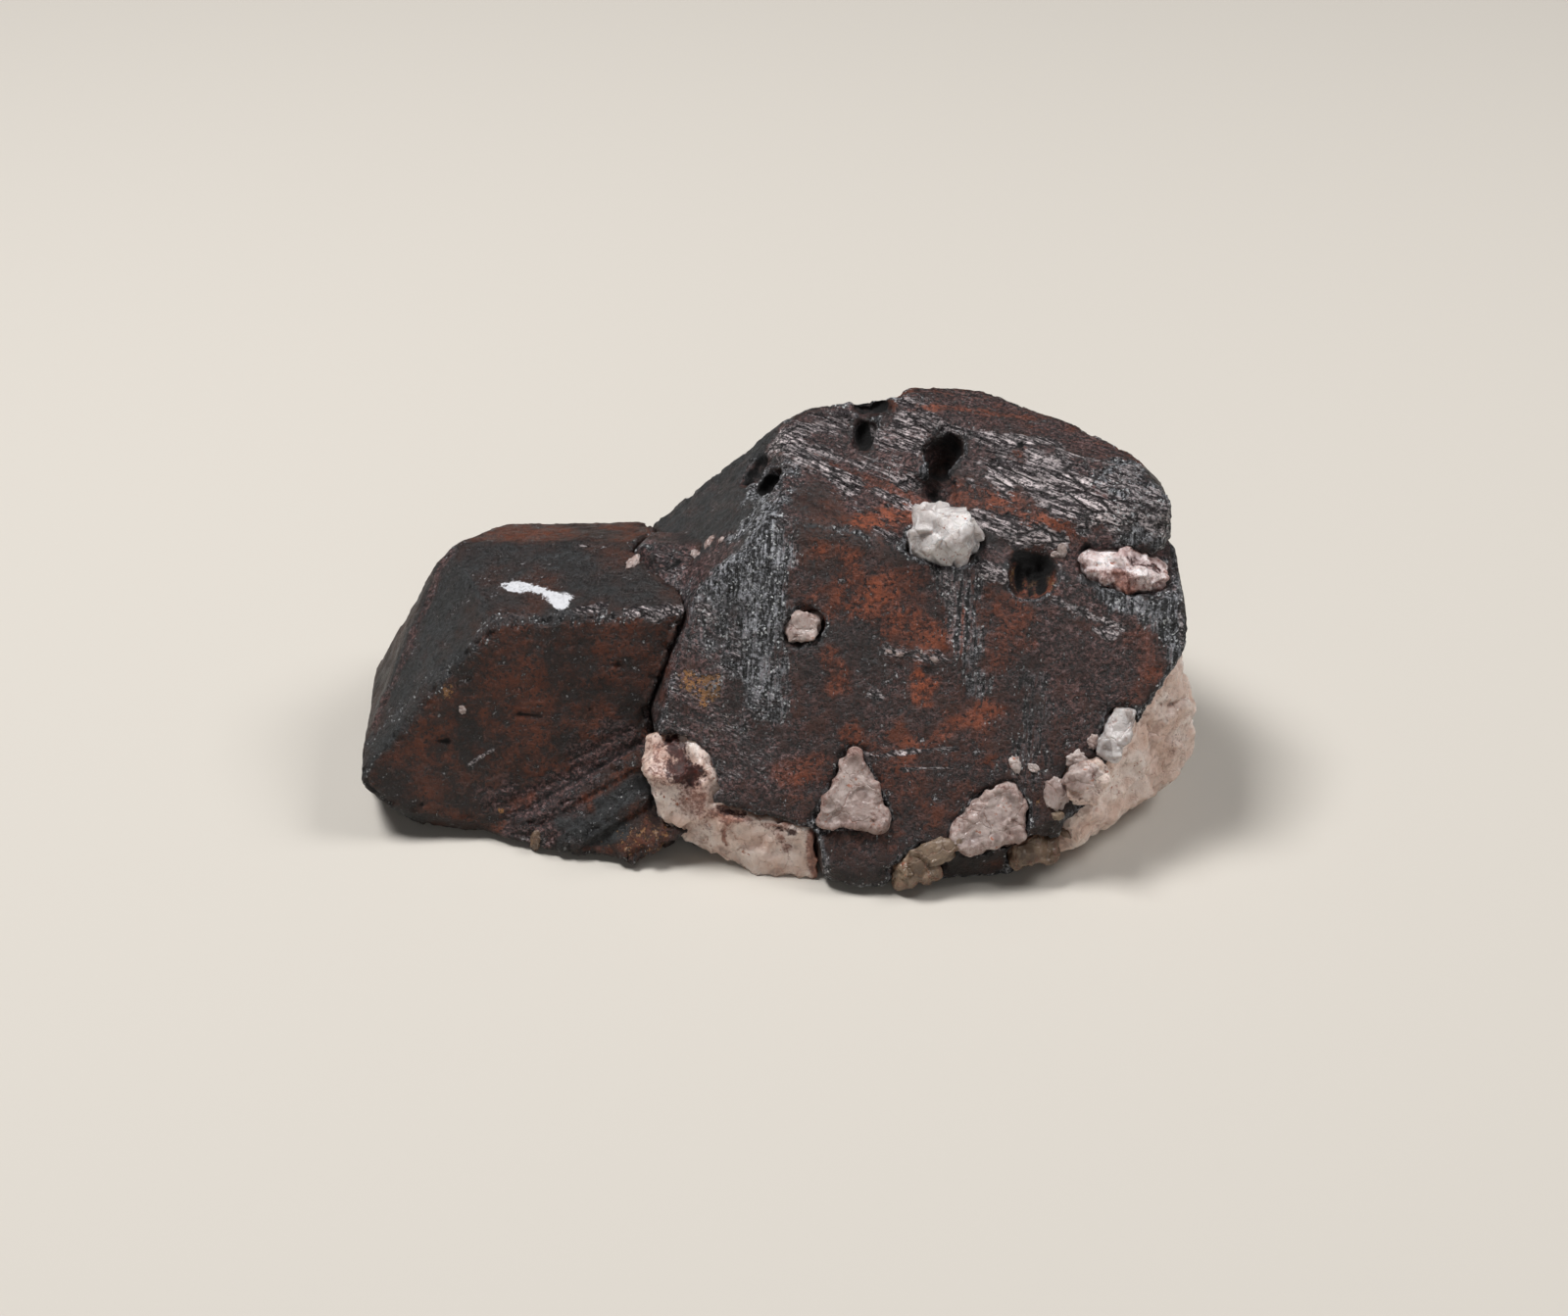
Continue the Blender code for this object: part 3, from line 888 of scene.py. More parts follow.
    def bump(self, height, strength: float = 1.0) -> None:
        """Gives the shader a relief whose height is in mm."""
        bump = self.node("Bump", {"Height": height, "Strength": strength, "Distance": MM})
        self.tree.links.new(bump.outputs["Normal"], self.shader.inputs["Normal"])


@dataclass(frozen=True)
class FerberiteFinish:
    """Ferberite, an iron tungstate: nearly black and submetallic, under films of iron oxide.

    It gives the eye a hard, pitch-like shine on fresh breaks, and the films turn that to a dull
    red brown. They also dull the faces, so the index is well below the mineral's own 2.3.
    """

    black: str = "#130c0a"
    black_brown: str = "#2c150b"
    slate: str = "#0f1011"
    slate_pale: str = "#2d2e2f"
    film_dark: str = "#1b0b06"
    film_bright: str = "#52250f"
    rust_dark: str = "#27110b"
    rust_bright: str = "#92492a"
    tarnish_dark: str = "#1c0e0e"
    tarnish_bright: str = "#6d4f4c"
    grit_dark: str = "#0f0f11"
    grit_glint: str = "#a2a3a8"
    silver_dark: str = "#21171a"
    silver_sheen: str = "#dccfcf"
    ochre: str = "#9a6b3c"
    chalk: str = "#dadade"
    painted_glint: str = "#d5d7d8"
    shade_black: str = "#040202"
    crack: str = "#150e0f"
    index: float = 1.5

    def make(self) -> bpy.types.Material:
        """Makes the material and returns it."""
        p = Palette("ferberite")
        broad = p.clouds(5.0, 3)
        patchy = p.clouds(1.7, 6, 0.65)
        fine = p.clouds(0.4, 4, 0.7)
        grains = p.grains(0.17, 0.5)
        chance = p.sum_of((patchy, 0.55), (fine, 0.45))
        finer = p.sum_of((patchy, 0.25), (fine, 0.45), (grains.lot, 0.3))
        layers = p.clouds(0.55, 6, 0.7, p.squeezed(PARTING, 9.0))
        threads = p.clouds(0.2, 3, 0.6, p.squeezed(PARTING, 7.0))
        lines = p.clouds(0.35, 4, 0.65, p.squeezed(FALL_LINE, 9.0))
        ledges = p.clouds(0.4, 4, 0.65, p.squeezed(LEDGE_TREND, 9.0))

        slate = p.mask(Cover.SLATE, p.sum_of((broad, 0.6), (patchy, 0.2), (fine, 0.2)), 0.3)
        film = p.mask(Cover.FILM, chance, 0.3)
        rust = p.mask(Cover.RUST, p.sum_of((patchy, 0.45), (fine, 0.3), (lines, 0.25)), 0.4)
        tarnish = p.mask(Cover.TARNISH, chance, 0.3)
        grit = p.mask(Cover.GRIT, p.sum_of((finer, 0.3), (lines, 0.7)), 0.25)
        silver = p.mask(Cover.SILVER, p.sum_of((layers, 0.8), (fine, 0.2)), 0.16)
        ochre = p.mask(Cover.OCHRE, p.sum_of((fine, 0.8), (patchy, 0.2)), 0.1)
        chalk = p.mask(Cover.CHALK, p.sum_of((fine, 0.7), (patchy, 0.3)), 0.2)
        # Painted shade: the pits and hollows go near black.
        pit_shade = p.ramp(p.amount(Cover.PIT_SHADE), 0.1, 0.9)
        broken = p.maths("MAXIMUM", grit, silver)
        rough = p.maths("MAXIMUM", broken, p.maths("MULTIPLY", tarnish, 0.6))

        colour = p.mix(broad, self.black, self.black_brown)
        colour = p.mix(slate, colour, p.mix(fine, self.slate, self.slate_pale))
        stained = p.ramp(p.sum_of((broad, 0.35), (patchy, 0.4), (fine, 0.25)), 0.2, 0.85)
        colour = p.mix(film, colour, p.mix(stained, self.film_dark, self.film_bright))
        mottle = p.ramp(p.sum_of((fine, 0.6), (grains.lot, 0.4)), 0.3, 0.95)
        colour = p.mix(tarnish, colour, p.mix(mottle, self.tarnish_dark, self.tarnish_bright))
        warm = p.ramp(p.sum_of((broad, 0.2), (patchy, 0.4), (fine, 0.4)), 0.15, 0.9)
        colour = p.mix(rust, colour, p.mix(warm, self.rust_dark, self.rust_bright))
        # Grit: dark and pale grains, the pale ones partly painted glints along the worn edges and
        # bands.
        lit = p.ramp(p.sum_of((grains.lot, 0.25), (fine, 0.2), (lines, 0.55)), 0.35, 0.85)
        colour = p.mix(grit, colour, p.mix(lit, self.grit_dark, self.grit_glint))
        # Silvery parting layers: pale streaks, partly real and partly painted sheen.
        pale = p.ramp(p.sum_of((layers, 0.45), (threads, 0.4), (grains.lot, 0.15)), 0.35, 0.78)
        colour = p.mix(silver, colour, p.mix(pale, self.silver_dark, self.silver_sheen))
        across = {"Vector": p.squeezed(PARTING, 3.0), "Scale": per_metre(1.4)}
        crazed = p.node("TexVoronoi", across, feature="DISTANCE_TO_EDGE").outputs["Distance"]
        cracks = p.maths("MULTIPLY", p.ramp(crazed, 0.01, 0.09, 1.0, 0.0), silver)
        cracks = p.maths("MULTIPLY", cracks, p.ramp(broad, 0.2, 0.55))
        colour = p.mix(cracks, colour, self.crack)
        colour = p.mix(ochre, colour, self.ochre)
        # Painted glints: sparse near white grains on the grit.
        painted_glint = p.maths("MULTIPLY", p.ramp(grains.other, 0.9, 0.96), p.maths("MULTIPLY", grit, 0.8))
        colour = p.mix(painted_glint, colour, self.painted_glint)
        tone = p.ramp(p.sum_of((broad, 0.3), (patchy, 0.35), (fine, 0.35)), 0.22, 0.78, 0.5, 1.4)
        colour = p.mix(1.0, colour, tone, "MULTIPLY")
        # Painted glints: sparse pale flecks over the tarnish and some of the film.
        filmed = p.maths("MULTIPLY", film, 0.3)
        glint_fleck_share = p.maths("MULTIPLY", p.maths("MAXIMUM", tarnish, filmed), 0.16)
        glint_flecks = p.maths("MULTIPLY", p.ramp(p.clouds(0.4, 3, 0.6), 0.86, 1.0), glint_fleck_share)
        colour = p.mix(glint_flecks, colour, self.grit_glint)
        # Painted shade: tiny sunk pits drawn near black over the whole surface.
        pin_pit_shade = p.maths("MULTIPLY", p.ramp(p.clouds(0.34, 2, 0.5), 0.8, 0.92), 0.85)
        colour = p.mix(pin_pit_shade, colour, self.shade_black)
        colour = p.mix(chalk, colour, self.chalk)
        colour = p.mix(pit_shade, colour, self.shade_black)
        p.tree.links.new(colour, p.shader.inputs["Base Color"])

        gloss = p.ramp(patchy, 0.0, 1.0, 0.4, 0.6)
        gloss = p.blend(rust, gloss, 0.7)
        gloss = p.blend(rough, gloss, p.ramp(grains.other, 0.0, 1.0, 0.65, 0.25))
        gloss = p.blend(chalk, gloss, 0.9)
        gloss = p.blend(pit_shade, gloss, 0.95)
        p.tree.links.new(gloss, p.shader.inputs["Roughness"])

        facets = p.maths("MULTIPLY", grains.height, rough)
        streaks = p.maths("MULTIPLY", layers, silver)
        upright = p.maths("MULTIPLY", lines, grit)
        steps = p.maths("MULTIPLY", ledges, tarnish)
        relief = p.sum_of((patchy, 0.13), (fine, 0.08), (facets, 0.9), (streaks, 0.16))
        relief = p.sum_of((relief, 1.0), (upright, 0.12), (lines, 0.035), (glint_flecks, 0.06))
        relief = p.sum_of((relief, 1.0), (steps, 0.05), (pin_pit_shade, -0.1), (chalk, 0.06))
        p.bump(p.sum_of((relief, 1.0), (cracks, -0.12)))
        p.shader.inputs["IOR"].default_value = self.index
        return p.material


@dataclass(frozen=True)
class QuartzFinish:
    """Massive quartz: cloudy, a little see-through, glassy where broken, rusty in its cracks."""

    name: str = "milky_quartz"
    milky: str = "#d4b7a8"
    white: str = "#e8d8cf"
    smoky: str = "#a68c80"
    stain: str = "#4f1c12"
    stain_pale: str = "#a5674f"
    dark_stain_and_shade: str = "#2b1411"
    index: float = 1.544
    cloud: float = 0.45
    depth: float = 1.6
    sugar: float = 1.3
    slope: float = 0.3
    shine: tuple[float, float] = (0.12, 0.45)

    def make(self) -> bpy.types.Material:
        """Makes the material and returns it."""
        p = Palette(self.name)
        broad = p.clouds(3.0, 4)
        patchy = p.clouds(1.2, 5, 0.65)
        fine = p.clouds(0.35, 4, 0.7)
        grains = p.grains(self.sugar, self.slope)
        warp = p.node("TexNoise", {"Vector": p.place, "Scale": per_metre(1.2), "Detail": 4})
        bend = (1.5 * MM, 1.5 * MM, 1.5 * MM)
        warped = {0: warp.outputs["Color"], 1: bend, 2: p.place}
        bent = p.node("VectorMath", warped, operation="MULTIPLY_ADD")
        where = {"Vector": bent.outputs[0], "Scale": per_metre(2.6)}
        cracks = p.node("TexVoronoi", where, feature="DISTANCE_TO_EDGE")
        in_crack = p.ramp(cracks.outputs["Distance"], 0.0, 0.035, 1.0, 0.0)
        broken = p.maths("MULTIPLY", in_crack, p.ramp(patchy, 0.35, 0.75))
        stain = p.mask(Cover.STAIN, p.sum_of((fine, 0.6), (patchy, 0.4)), 0.35)

        colour = p.mix(p.ramp(broad, 0.1, 0.9), self.milky, self.white)
        colour = p.mix(p.maths("MULTIPLY", p.ramp(patchy, 0.6, 1.0), 0.6), colour, self.smoky)
        colour = p.mix(p.maths("MULTIPLY", p.ramp(grains.lot, 0.6, 1.0), 0.3), colour, self.white)
        colour = p.mix(p.maths("MULTIPLY", p.ramp(fine, 0.75, 1.0), 0.35), colour, self.smoky)
        colour = p.mix(p.maths("MULTIPLY", broken, 0.3), colour, self.stain_pale)
        dots = p.ramp(p.clouds(0.5, 3, 0.6), 0.88, 1.0)
        dots = p.maths("MULTIPLY", dots, p.ramp(broad, 0.4, 0.9))
        colour = p.mix(dots, colour, self.stain_pale)
        rusty = p.mix(fine, self.stain, self.stain_pale)
        colour = p.mix(p.maths("MULTIPLY", stain, 0.85), colour, rusty)
        # Dark iron stain, and painted shade in the marked pits and seams.
        stain_and_shade = p.mask(Cover.PIT_SHADE, p.sum_of((fine, 0.5), (patchy, 0.5)), 0.25)
        colour = p.mix(stain_and_shade, colour, p.mix(fine, self.dark_stain_and_shade, self.stain))
        p.tree.links.new(colour, p.shader.inputs["Base Color"])
        gloss = p.blend(stain, p.ramp(grains.other, 0.0, 1.0, *self.shine), 0.6)
        p.tree.links.new(gloss, p.shader.inputs["Roughness"])
        p.bump(p.sum_of((patchy, 0.04), (fine, 0.025), (grains.height, 0.55), (in_crack, -0.06)))
        p.shader.inputs["IOR"].default_value = self.index
        p.shader.inputs["Subsurface Weight"].default_value = self.cloud
        p.shader.inputs["Subsurface Radius"].default_value = (1.0, 0.8, 0.7)
        p.shader.inputs["Subsurface Scale"].default_value = self.depth * MM
        return p.material


@dataclass(frozen=True)
class Studio:
    """A plain pale floor and soft lamps above it, in metres and watts."""

    floor_size: float = 3.0
    floor: str = "#c9c3ba"
    sky: str = "#cdcdce"
    sky_strength: float = 0.09

    def lamp(self, name: str, place: tuple, size: float, power: float) -> None:
        """A square soft lamp that looks at the specimen.

        Args:
            name: The lamp's name.
            place: Where it hangs, in metres.
            size: Its side in metres.
            power: Its power in watts.
        """
        data = bpy.data.lights.new(name, "AREA")
        data.shape = "SQUARE"
        data.size = size
        data.energy = power
        lamp = bpy.data.objects.new(name, data)
        lamp.location = place
        lamp.rotation_euler = (-Vector(place)).to_track_quat("-Z", "Y").to_euler()
        bpy.context.scene.collection.objects.link(lamp)

    def make(self) -> None:
        """Makes the floor, the lamps and the world."""
        shape = bmesh.new()
        bmesh.ops.create_grid(shape, x_segments=1, y_segments=1, size=self.floor_size / 2)
        mesh = bpy.data.meshes.new("floor")
        shape.to_mesh(mesh)
        shape.free()
        floor = bpy.data.objects.new("floor", mesh)
        bpy.context.scene.collection.objects.link(floor)
        paper = bpy.data.materials.new("matt_paper")
        paper.use_nodes = True
        shader = paper.node_tree.nodes["Principled BSDF"]
        shader.inputs["Base Color"].default_value = to_linear(self.floor)
        shader.inputs["Roughness"].default_value = 0.85
        mesh.materials.append(paper)
        self.lamp("key", (-0.20, 0.06, 0.50), 0.16, 2.8)
        self.lamp("second", (0.34, 0.04, 0.42), 0.20, 1.35)
        self.lamp("front", (0.0, -0.60, 0.34), 0.45, 0.5)
        world = bpy.data.worlds.new("soft_room")
        world.use_nodes = True
        sky = world.node_tree.nodes["Background"]
        sky.inputs["Color"].default_value = to_linear(self.sky)
        sky.inputs["Strength"].default_value = self.sky_strength
        bpy.context.scene.world = world
        bpy.context.scene.view_settings.view_transform = "Standard"


@dataclass(frozen=True)
class Crumb:
    """A loose grain stuck to the surface, placed by its pixel. size: its half length in mm."""

    pixel: tuple[float, float]
    size: float
    long: float = 1.3
    flat: float = 0.6


@dataclass
class Crumbs:
    """Small grains of quartz on the crystals, joined in one mesh. lumpy: how uneven they are."""

    name: str
    grains: tuple[Crumb, ...]
    material: bpy.types.Material
    seed: int = 5
    lumpy: float = 0.4

    def build(self, sight: Sight) -> bpy.types.Object:
        """Makes the grains, each half sunk in what it sits on.

        Args:
            sight: What finds each grain's place.

        Returns:
            The piece's object.
        """
        chance = random.Random(self.seed)
        shape = bmesh.new()
        for number, grain in enumerate(self.grains):
            hit = sight.meet(*grain.pixel)
            if hit is None:
                continue
            _, place, normal = hit
            turn = normal.to_track_quat("Z", "Y").to_matrix().to_4x4()
            spin = Matrix.Rotation(chance.uniform(0, math.pi), 4, "Z")
            half_sizes = (grain.size * grain.long, grain.size, grain.size * grain.flat)
            scale = Matrix.Diagonal((*half_sizes, 1))
            made = bmesh.ops.create_icosphere(shape, subdivisions=4, radius=1.0)
            shift = Vector((number * 3.1, self.seed, 0))
            for vertex in made["verts"]:
                lump = noise.fractal(vertex.co * 1.6 + shift, 1.0, 2.0, 3)
                vertex.co *= 1 + self.lumpy * lump
            matrix = Matrix.Translation(place) @ turn @ spin @ scale
            bmesh.ops.transform(shape, matrix=Matrix.Scale(MM, 4) @ matrix, verts=made["verts"])
        mesh = bpy.data.meshes.new(self.name)
        shape.to_mesh(mesh)
        shape.free()
        mesh.materials.append(self.material)
        mesh.shade_smooth()
        piece = bpy.data.objects.new(self.name, mesh)
        bpy.context.scene.collection.objects.link(piece)
        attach(piece, "root")
        log.info("%s: %d faces", piece.name, len(mesh.polygons))
        return piece


# What lies on the specimen, in pixels of the photograph and mm. From left to right.
MARKS = (
    # The small crystal's top: a brown strip along its back, a dab of chalk and pale flecks.
    Mark(Cover.FILM, ((480, 546), (560, 544), (655, 541)), 4.6, 1.0),
    Mark(Cover.RUST, ((470, 552), (560, 552), (640, 545)), 1.6, 0.2),
    Mark(Cover.CHALK, ((514, 596), (530, 598)), 0.6, 0.5, 0.03),
    Mark(Cover.CHALK, ((528, 599), (548, 603)), 1.2, 0.9, 0.05),
    Mark(Cover.CHALK, ((548, 604), (562, 608), (569, 612)), 1.9, 1.0, 0.08),
    Mark(Cover.SILVER, ((594, 622), (612, 618)), 1.1, 0.8),
    Mark(Cover.SILVER, ((651, 629), (668, 628), (688, 622)), 1.8, 0.8),
    Mark(Cover.GRIT, ((506, 628), (570, 630), (635, 632), (695, 626)), 1.6, 0.45),
    Mark(Cover.GRIT, ((506, 629), (479, 661), (452, 684), (420, 714), (375, 756)), 2.0, 0.42),
    Mark(Cover.SLATE, ((520, 570), (600, 575)), 5.0, 0.7),
    Mark(Cover.SILVER, ((590, 557), (624, 558)), 0.4, 0.6),
    # Its front: redder by the seam, olive black low down, with pits painted in shade, and
    # scratches.
    Mark(Cover.RUST, ((674, 648), (684, 680), (676, 710)), 2.0, 0.45),
    Mark(Cover.RUST, ((655, 690),), 3.4, 0.3),
    Mark(Cover.RUST, ((520, 690), (600, 700)), 5.0, 0.1),
    Mark(Cover.SLATE, ((400, 770), (450, 810), (510, 800)), 6.5, 0.8),
    Mark(Cover.FILM, ((430, 790), (500, 800)), 8.0, -0.35),
    Mark(Cover.PIT_SHADE, ((630, 679),), 0.8, 0.9, -0.25),
    Mark(Cover.SILVER, ((626, 672),), 0.7, 0.5),
    Mark(Cover.PIT_SHADE, ((478, 694),), 0.7, 0.9, -0.15),
    Mark(Cover.PIT_SHADE, ((568, 658),), 0.4, 0.9, -0.12),
    Mark(Cover.PIT_SHADE, ((447, 757), (456, 757)), 0.6, 0.9, -0.15),
    Mark(Cover.PIT_SHADE, ((530, 729), (552, 731)), 0.5, 0.8, -0.1),
    Mark(Cover.PIT_SHADE, ((430, 821),), 0.5, 0.9, -0.12),
    Mark(Cover.PIT_SHADE, ((602, 724),), 0.4, 0.8, -0.1),
    Mark(Cover.OCHRE, ((458, 706),), 1.6, 0.4),
    Mark(Cover.SILVER, ((479, 780), (503, 765)), 0.45, 1.0),
    # Its end: slate, with a purple outer facet.
    Mark(Cover.SLATE, ((450, 620), (430, 680)), 9.0, 0.9),
    Mark(Cover.TARNISH, ((458, 560), (407, 687), (380, 741)), 1.2, 0.9),
    Mark(Cover.TARNISH, ((420, 590), (390, 670), (374, 710)), 3.2, 0.6),
    # The broken ledges, with two bluish facets and an olive foot.
    Mark(Cover.TARNISH, ((525, 826), (575, 797), (640, 760)), 6.0, 1.0),
    Mark(Cover.TARNISH, ((545, 850), (600, 820)), 4.0, 0.9),
    Mark(Cover.RUST, ((520, 826), (545, 812)), 1.4, 0.5),
    Mark(Cover.RUST, ((590, 820), (630, 800)), 1.0, 0.5),
    Mark(Cover.SILVER, ((555, 820), (600, 795), (630, 770)), 2.2, 0.15),
    Mark(Cover.OCHRE, ((511, 827),), 0.7, 0.8),
    Mark(Cover.FILM, ((599, 828), (622, 800), (648, 778)), 1.9, 1.2),
    Mark(Cover.TARNISH, ((599, 828), (622, 800), (648, 778)), 1.7, -0.9),
    Mark(Cover.FILM, ((640, 862), (675, 840)), 3.6, 1.0),
    Mark(Cover.SLATE, ((620, 822), (650, 805)), 2.8, 1.2),
    Mark(Cover.SLATE, ((592, 845), (630, 842)), 3.2, 1.2),
    Mark(Cover.FILM, ((620, 822), (650, 805)), 2.8, -0.9),
    Mark(Cover.FILM, ((592, 845), (630, 842)), 3.2, -0.9),
    Mark(Cover.TARNISH, ((620, 822), (650, 805)), 2.8, -0.7),
    Mark(Cover.TARNISH, ((592, 845), (630, 842)), 3.2, -0.7),
    Mark(Cover.GRIT, ((624, 820), (648, 808)), 2.2, 0.35),
    Mark(Cover.OCHRE, ((640, 860), (672, 835)), 3.4, 0.3),
    Mark(Cover.SILVER, ((535, 856), (552, 860)), 0.8, 0.6),
    # The rough shoulder.
    Mark(Cover.TARNISH, ((655, 590), (700, 600), (735, 570)), 7.0, 1.0),
    Mark(Cover.GRIT, ((665, 600), (705, 615), (715, 640)), 5.0, 0.5),
    Mark(Cover.SILVER, ((714, 616), (730, 632)), 1.8, 0.6),
    Mark(Cover.PIT_SHADE, ((660, 577), (680, 580), (694, 572)), 0.5, 0.9, -0.2),
    # The left facet of the large crystal, smooth.
    Mark(Cover.SLATE, ((690, 545), (730, 500), (780, 460)), 7.0, 1.0),
    # Grit up the left of its front, and over its left edge.
    Mark(Cover.GRIT, ((785, 500), (780, 540), (765, 600)), 6.5, 1.0),
    Mark(Cover.GRIT, ((735, 600), (745, 640)), 5.0, 0.75),
    Mark(Cover.GRIT, ((765, 600), (766, 640), (774, 700)), 6.0, 0.78),
    Mark(Cover.SILVER, ((745, 625), (752, 668)), 1.1, 0.6),
    Mark(Cover.SILVER, ((785, 455), (800, 470), (790, 500), (800, 530)), 2.2, 0.5),
    Mark(Cover.TARNISH, ((715, 650), (725, 740), (770, 790)), 8.5, 0.95),
    Mark(Cover.SILVER, ((700, 660), (720, 720), (750, 770)), 8.0, 0.4),
    Mark(Cover.OCHRE, ((703, 688), (714, 700)), 2.2, 0.48),
    Mark(Cover.OCHRE, ((729, 698), (720, 714)), 2.2, 0.48),
    Mark(Cover.OCHRE, ((700, 735), (740, 745)), 3.5, 0.12),
    # The thin second growth on its top, dark and smooth with a pale edge.
    Mark(Cover.SILVER, ((826, 498), (856, 504), (875, 513), (880, 541)), 0.5, 0.8),
    Mark(Cover.SILVER, ((881, 541), (905, 547), (932, 560)), 1.2, 0.8),
    Mark(Cover.SILVER, ((838, 540), (852, 560)), 1.4, 0.6),
    Mark(Cover.SILVER, ((812, 572),), 1.0, 0.7),
    # Parting layers on its top, silvery over purple and red.
    Mark(Cover.TARNISH, ((810, 450), (870, 480), (930, 510)), 8.0, 0.9),
    Mark(Cover.SLATE, ((830, 515), (850, 550)), 6.5, 1.1),
    Mark(Cover.TARNISH, ((830, 515), (850, 550)), 5.5, -0.9),
    Mark(Cover.SILVER, ((835, 515), (850, 548)), 6.0, -1.0),
    Mark(Cover.GRIT, ((838, 520), (850, 545)), 5.5, -0.9),
    Mark(Cover.RUST, ((803, 458), (836, 472), (875, 490), (936, 510)), 3.0, 0.5),
    Mark(Cover.SILVER, ((795, 449), (824, 468), (852, 482), (871, 496)), 2.2, 1.0),
    Mark(Cover.SILVER, ((891, 500), (946, 523)), 1.1, 0.75),
    Mark(Cover.SILVER, ((824, 433), (880, 440), (925, 455)), 2.8, 0.65),
    Mark(Cover.SILVER, ((830, 460), (890, 475), (935, 495)), 1.8, 0.75),
    Mark(Cover.RUST, ((890, 525), (935, 535)), 3.4, 0.75),
    Mark(Cover.FILM, ((890, 525), (940, 530)), 6.0, 0.9),
    # The slab: brown front, cracked silvery band, sparkling end and dark brown back.
    Mark(Cover.FILM, ((985, 500), (1040, 520), (1085, 545), (1150, 545)), 5.0, 1.1),
    Mark(Cover.RUST, ((985, 502), (1030, 520), (1080, 542)), 3.8, 0.6),
    Mark(Cover.SILVER, ((985, 502), (1030, 520), (1120, 550)), 4.0, 0.3),
    Mark(Cover.SILVER, ((1000, 473), (1021, 482), (1063, 493), (1095, 508), (1134, 523)), 3.6, 1.1),
    Mark(Cover.SILVER, ((1058, 467), (1080, 480), (1102, 495)), 2.2, 1.1),
    Mark(Cover.SILVER, ((917, 425), (976, 438), (1021, 449), (1080, 455)), 1.6, 0.75),
    Mark(Cover.SILVER, ((1080, 458), (1134, 474)), 0.7, 0.8),
    Mark(Cover.TARNISH, ((1073, 466), (1134, 490)), 2.6, 1.1),
    Mark(Cover.TARNISH, ((1117, 503), (1139, 515)), 2.0, 1.0),
    Mark(Cover.GRIT, ((1145, 482), (1165, 505), (1182, 540)), 5.6, 1.4),
    Mark(Cover.SILVER, ((1155, 488), (1182, 530)), 3.8, 0.75),
    Mark(Cover.SILVER, ((1073, 523), (1108, 543)), 0.6, 0.8),
    Mark(Cover.SILVER, ((993, 530), (1040, 545), (1084, 553)), 2.0, 0.95),
    Mark(Cover.TARNISH, ((1110, 555), (1165, 565)), 5.0, 1.0),
    Mark(Cover.FILM, ((922, 402), (1000, 408), (1080, 435), (1150, 465)), 5.5, 1.2),
    Mark(Cover.RUST, ((943, 417), (1000, 420), (1052, 427)), 1.1, 0.6),
    Mark(Cover.SILVER, ((922, 408), (945, 408)), 1.4, 0.6),
    Mark(Cover.RUST, ((1042, 461),), 1.1, 1.2),
    Mark(Cover.PIT_SHADE, ((1042, 453),), 0.6, 1.0, -0.3),
    # Round the notch: brown walls with painted shade in their sunk parts, and pale grains on its
    # left.
    Mark(Cover.SILVER, ((1006, 580), (1028, 592)), 1.8, 0.75),
    Mark(Cover.PIT_SHADE, ((1040, 572), (1050, 572), (1066, 574)), 1.8, 0.9, -0.3),
    Mark(Cover.PIT_SHADE, ((1040, 582), (1041, 598)), 0.7, 0.9, -0.3),
    Mark(Cover.PIT_SHADE, ((1050, 584), (1051, 606)), 0.7, 0.9, -0.3),
    Mark(Cover.PIT_SHADE, ((1061, 582), (1062, 604)), 0.8, 0.9, -0.3),
    Mark(Cover.RUST, ((1044, 584), (1052, 606)), 4.2, 0.9),
    Mark(Cover.OCHRE, ((1040, 586), (1062, 600)), 2.6, 0.4),
    Mark(Cover.PIT_SHADE, ((881, 436), (881, 450)), 1.3, 1.2, -0.3),
    Mark(Cover.PIT_SHADE, ((878, 412), (900, 414)), 1.5, 1.2, -0.3),
    Mark(Cover.PIT_SHADE, ((775, 472), (770, 482)), 1.5, 1.0, -0.2),
    Mark(Cover.PIT_SHADE, ((786, 494), (780, 502)), 1.5, 1.0, -0.2),
    Mark(Cover.SILVER, ((1073, 573), (1115, 585), (1160, 601)), 0.6, 0.8),
    # Grit down the right of the front, and orange rust between the two bands.
    Mark(Cover.GRIT, ((975, 578), (985, 640), (990, 695)), 4.2, 0.6),
    Mark(Cover.SILVER, ((966, 582), (970, 620)), 0.9, 0.6),
    Mark(Cover.RUST, ((868, 600), (895, 615), (915, 635), (950, 650)), 5.6, 0.72),
    Mark(Cover.RUST, ((925, 595), (950, 640)), 4.4, 0.5),
    Mark(Cover.RUST, ((846, 665), (856, 680), (852, 697)), 2.3, 0.75),
    Mark(Cover.RUST, ((935, 695), (953, 700), (942, 710)), 2.0, 0.95),
    Mark(Cover.RUST, ((935, 760), (975, 738), (1000, 722), (1025, 722)), 2.0, 0.62),
    Mark(Cover.RUST, ((868, 755), (872, 732)), 1.7, 0.7),
    Mark(Cover.RUST, ((1025, 610), (1045, 635), (1020, 670)), 3.6, 0.6),
    Mark(Cover.FILM, ((860, 600), (940, 600), (1020, 620)), 8.0, 0.9),
    Mark(Cover.FILM, ((900, 800), (960, 815), (1000, 800)), 9.0, 1.1),
    Mark(Cover.RUST, ((915, 800), (965, 815)), 4.6, 0.4),
    Mark(Cover.FILM, ((790, 790), (850, 800)), 5.5, 0.9),
    Mark(Cover.RUST, ((800, 790), (822, 790), (838, 776)), 2.4, 0.6),
    Mark(Cover.SLATE, ((890, 700), (910, 745)), 6.0, 1.2),
    Mark(Cover.SILVER, ((889, 708), (897, 712)), 1.0, 0.8),
    Mark(Cover.SILVER, ((905, 664), (930, 668), (962, 672)), 1.6, 0.55),
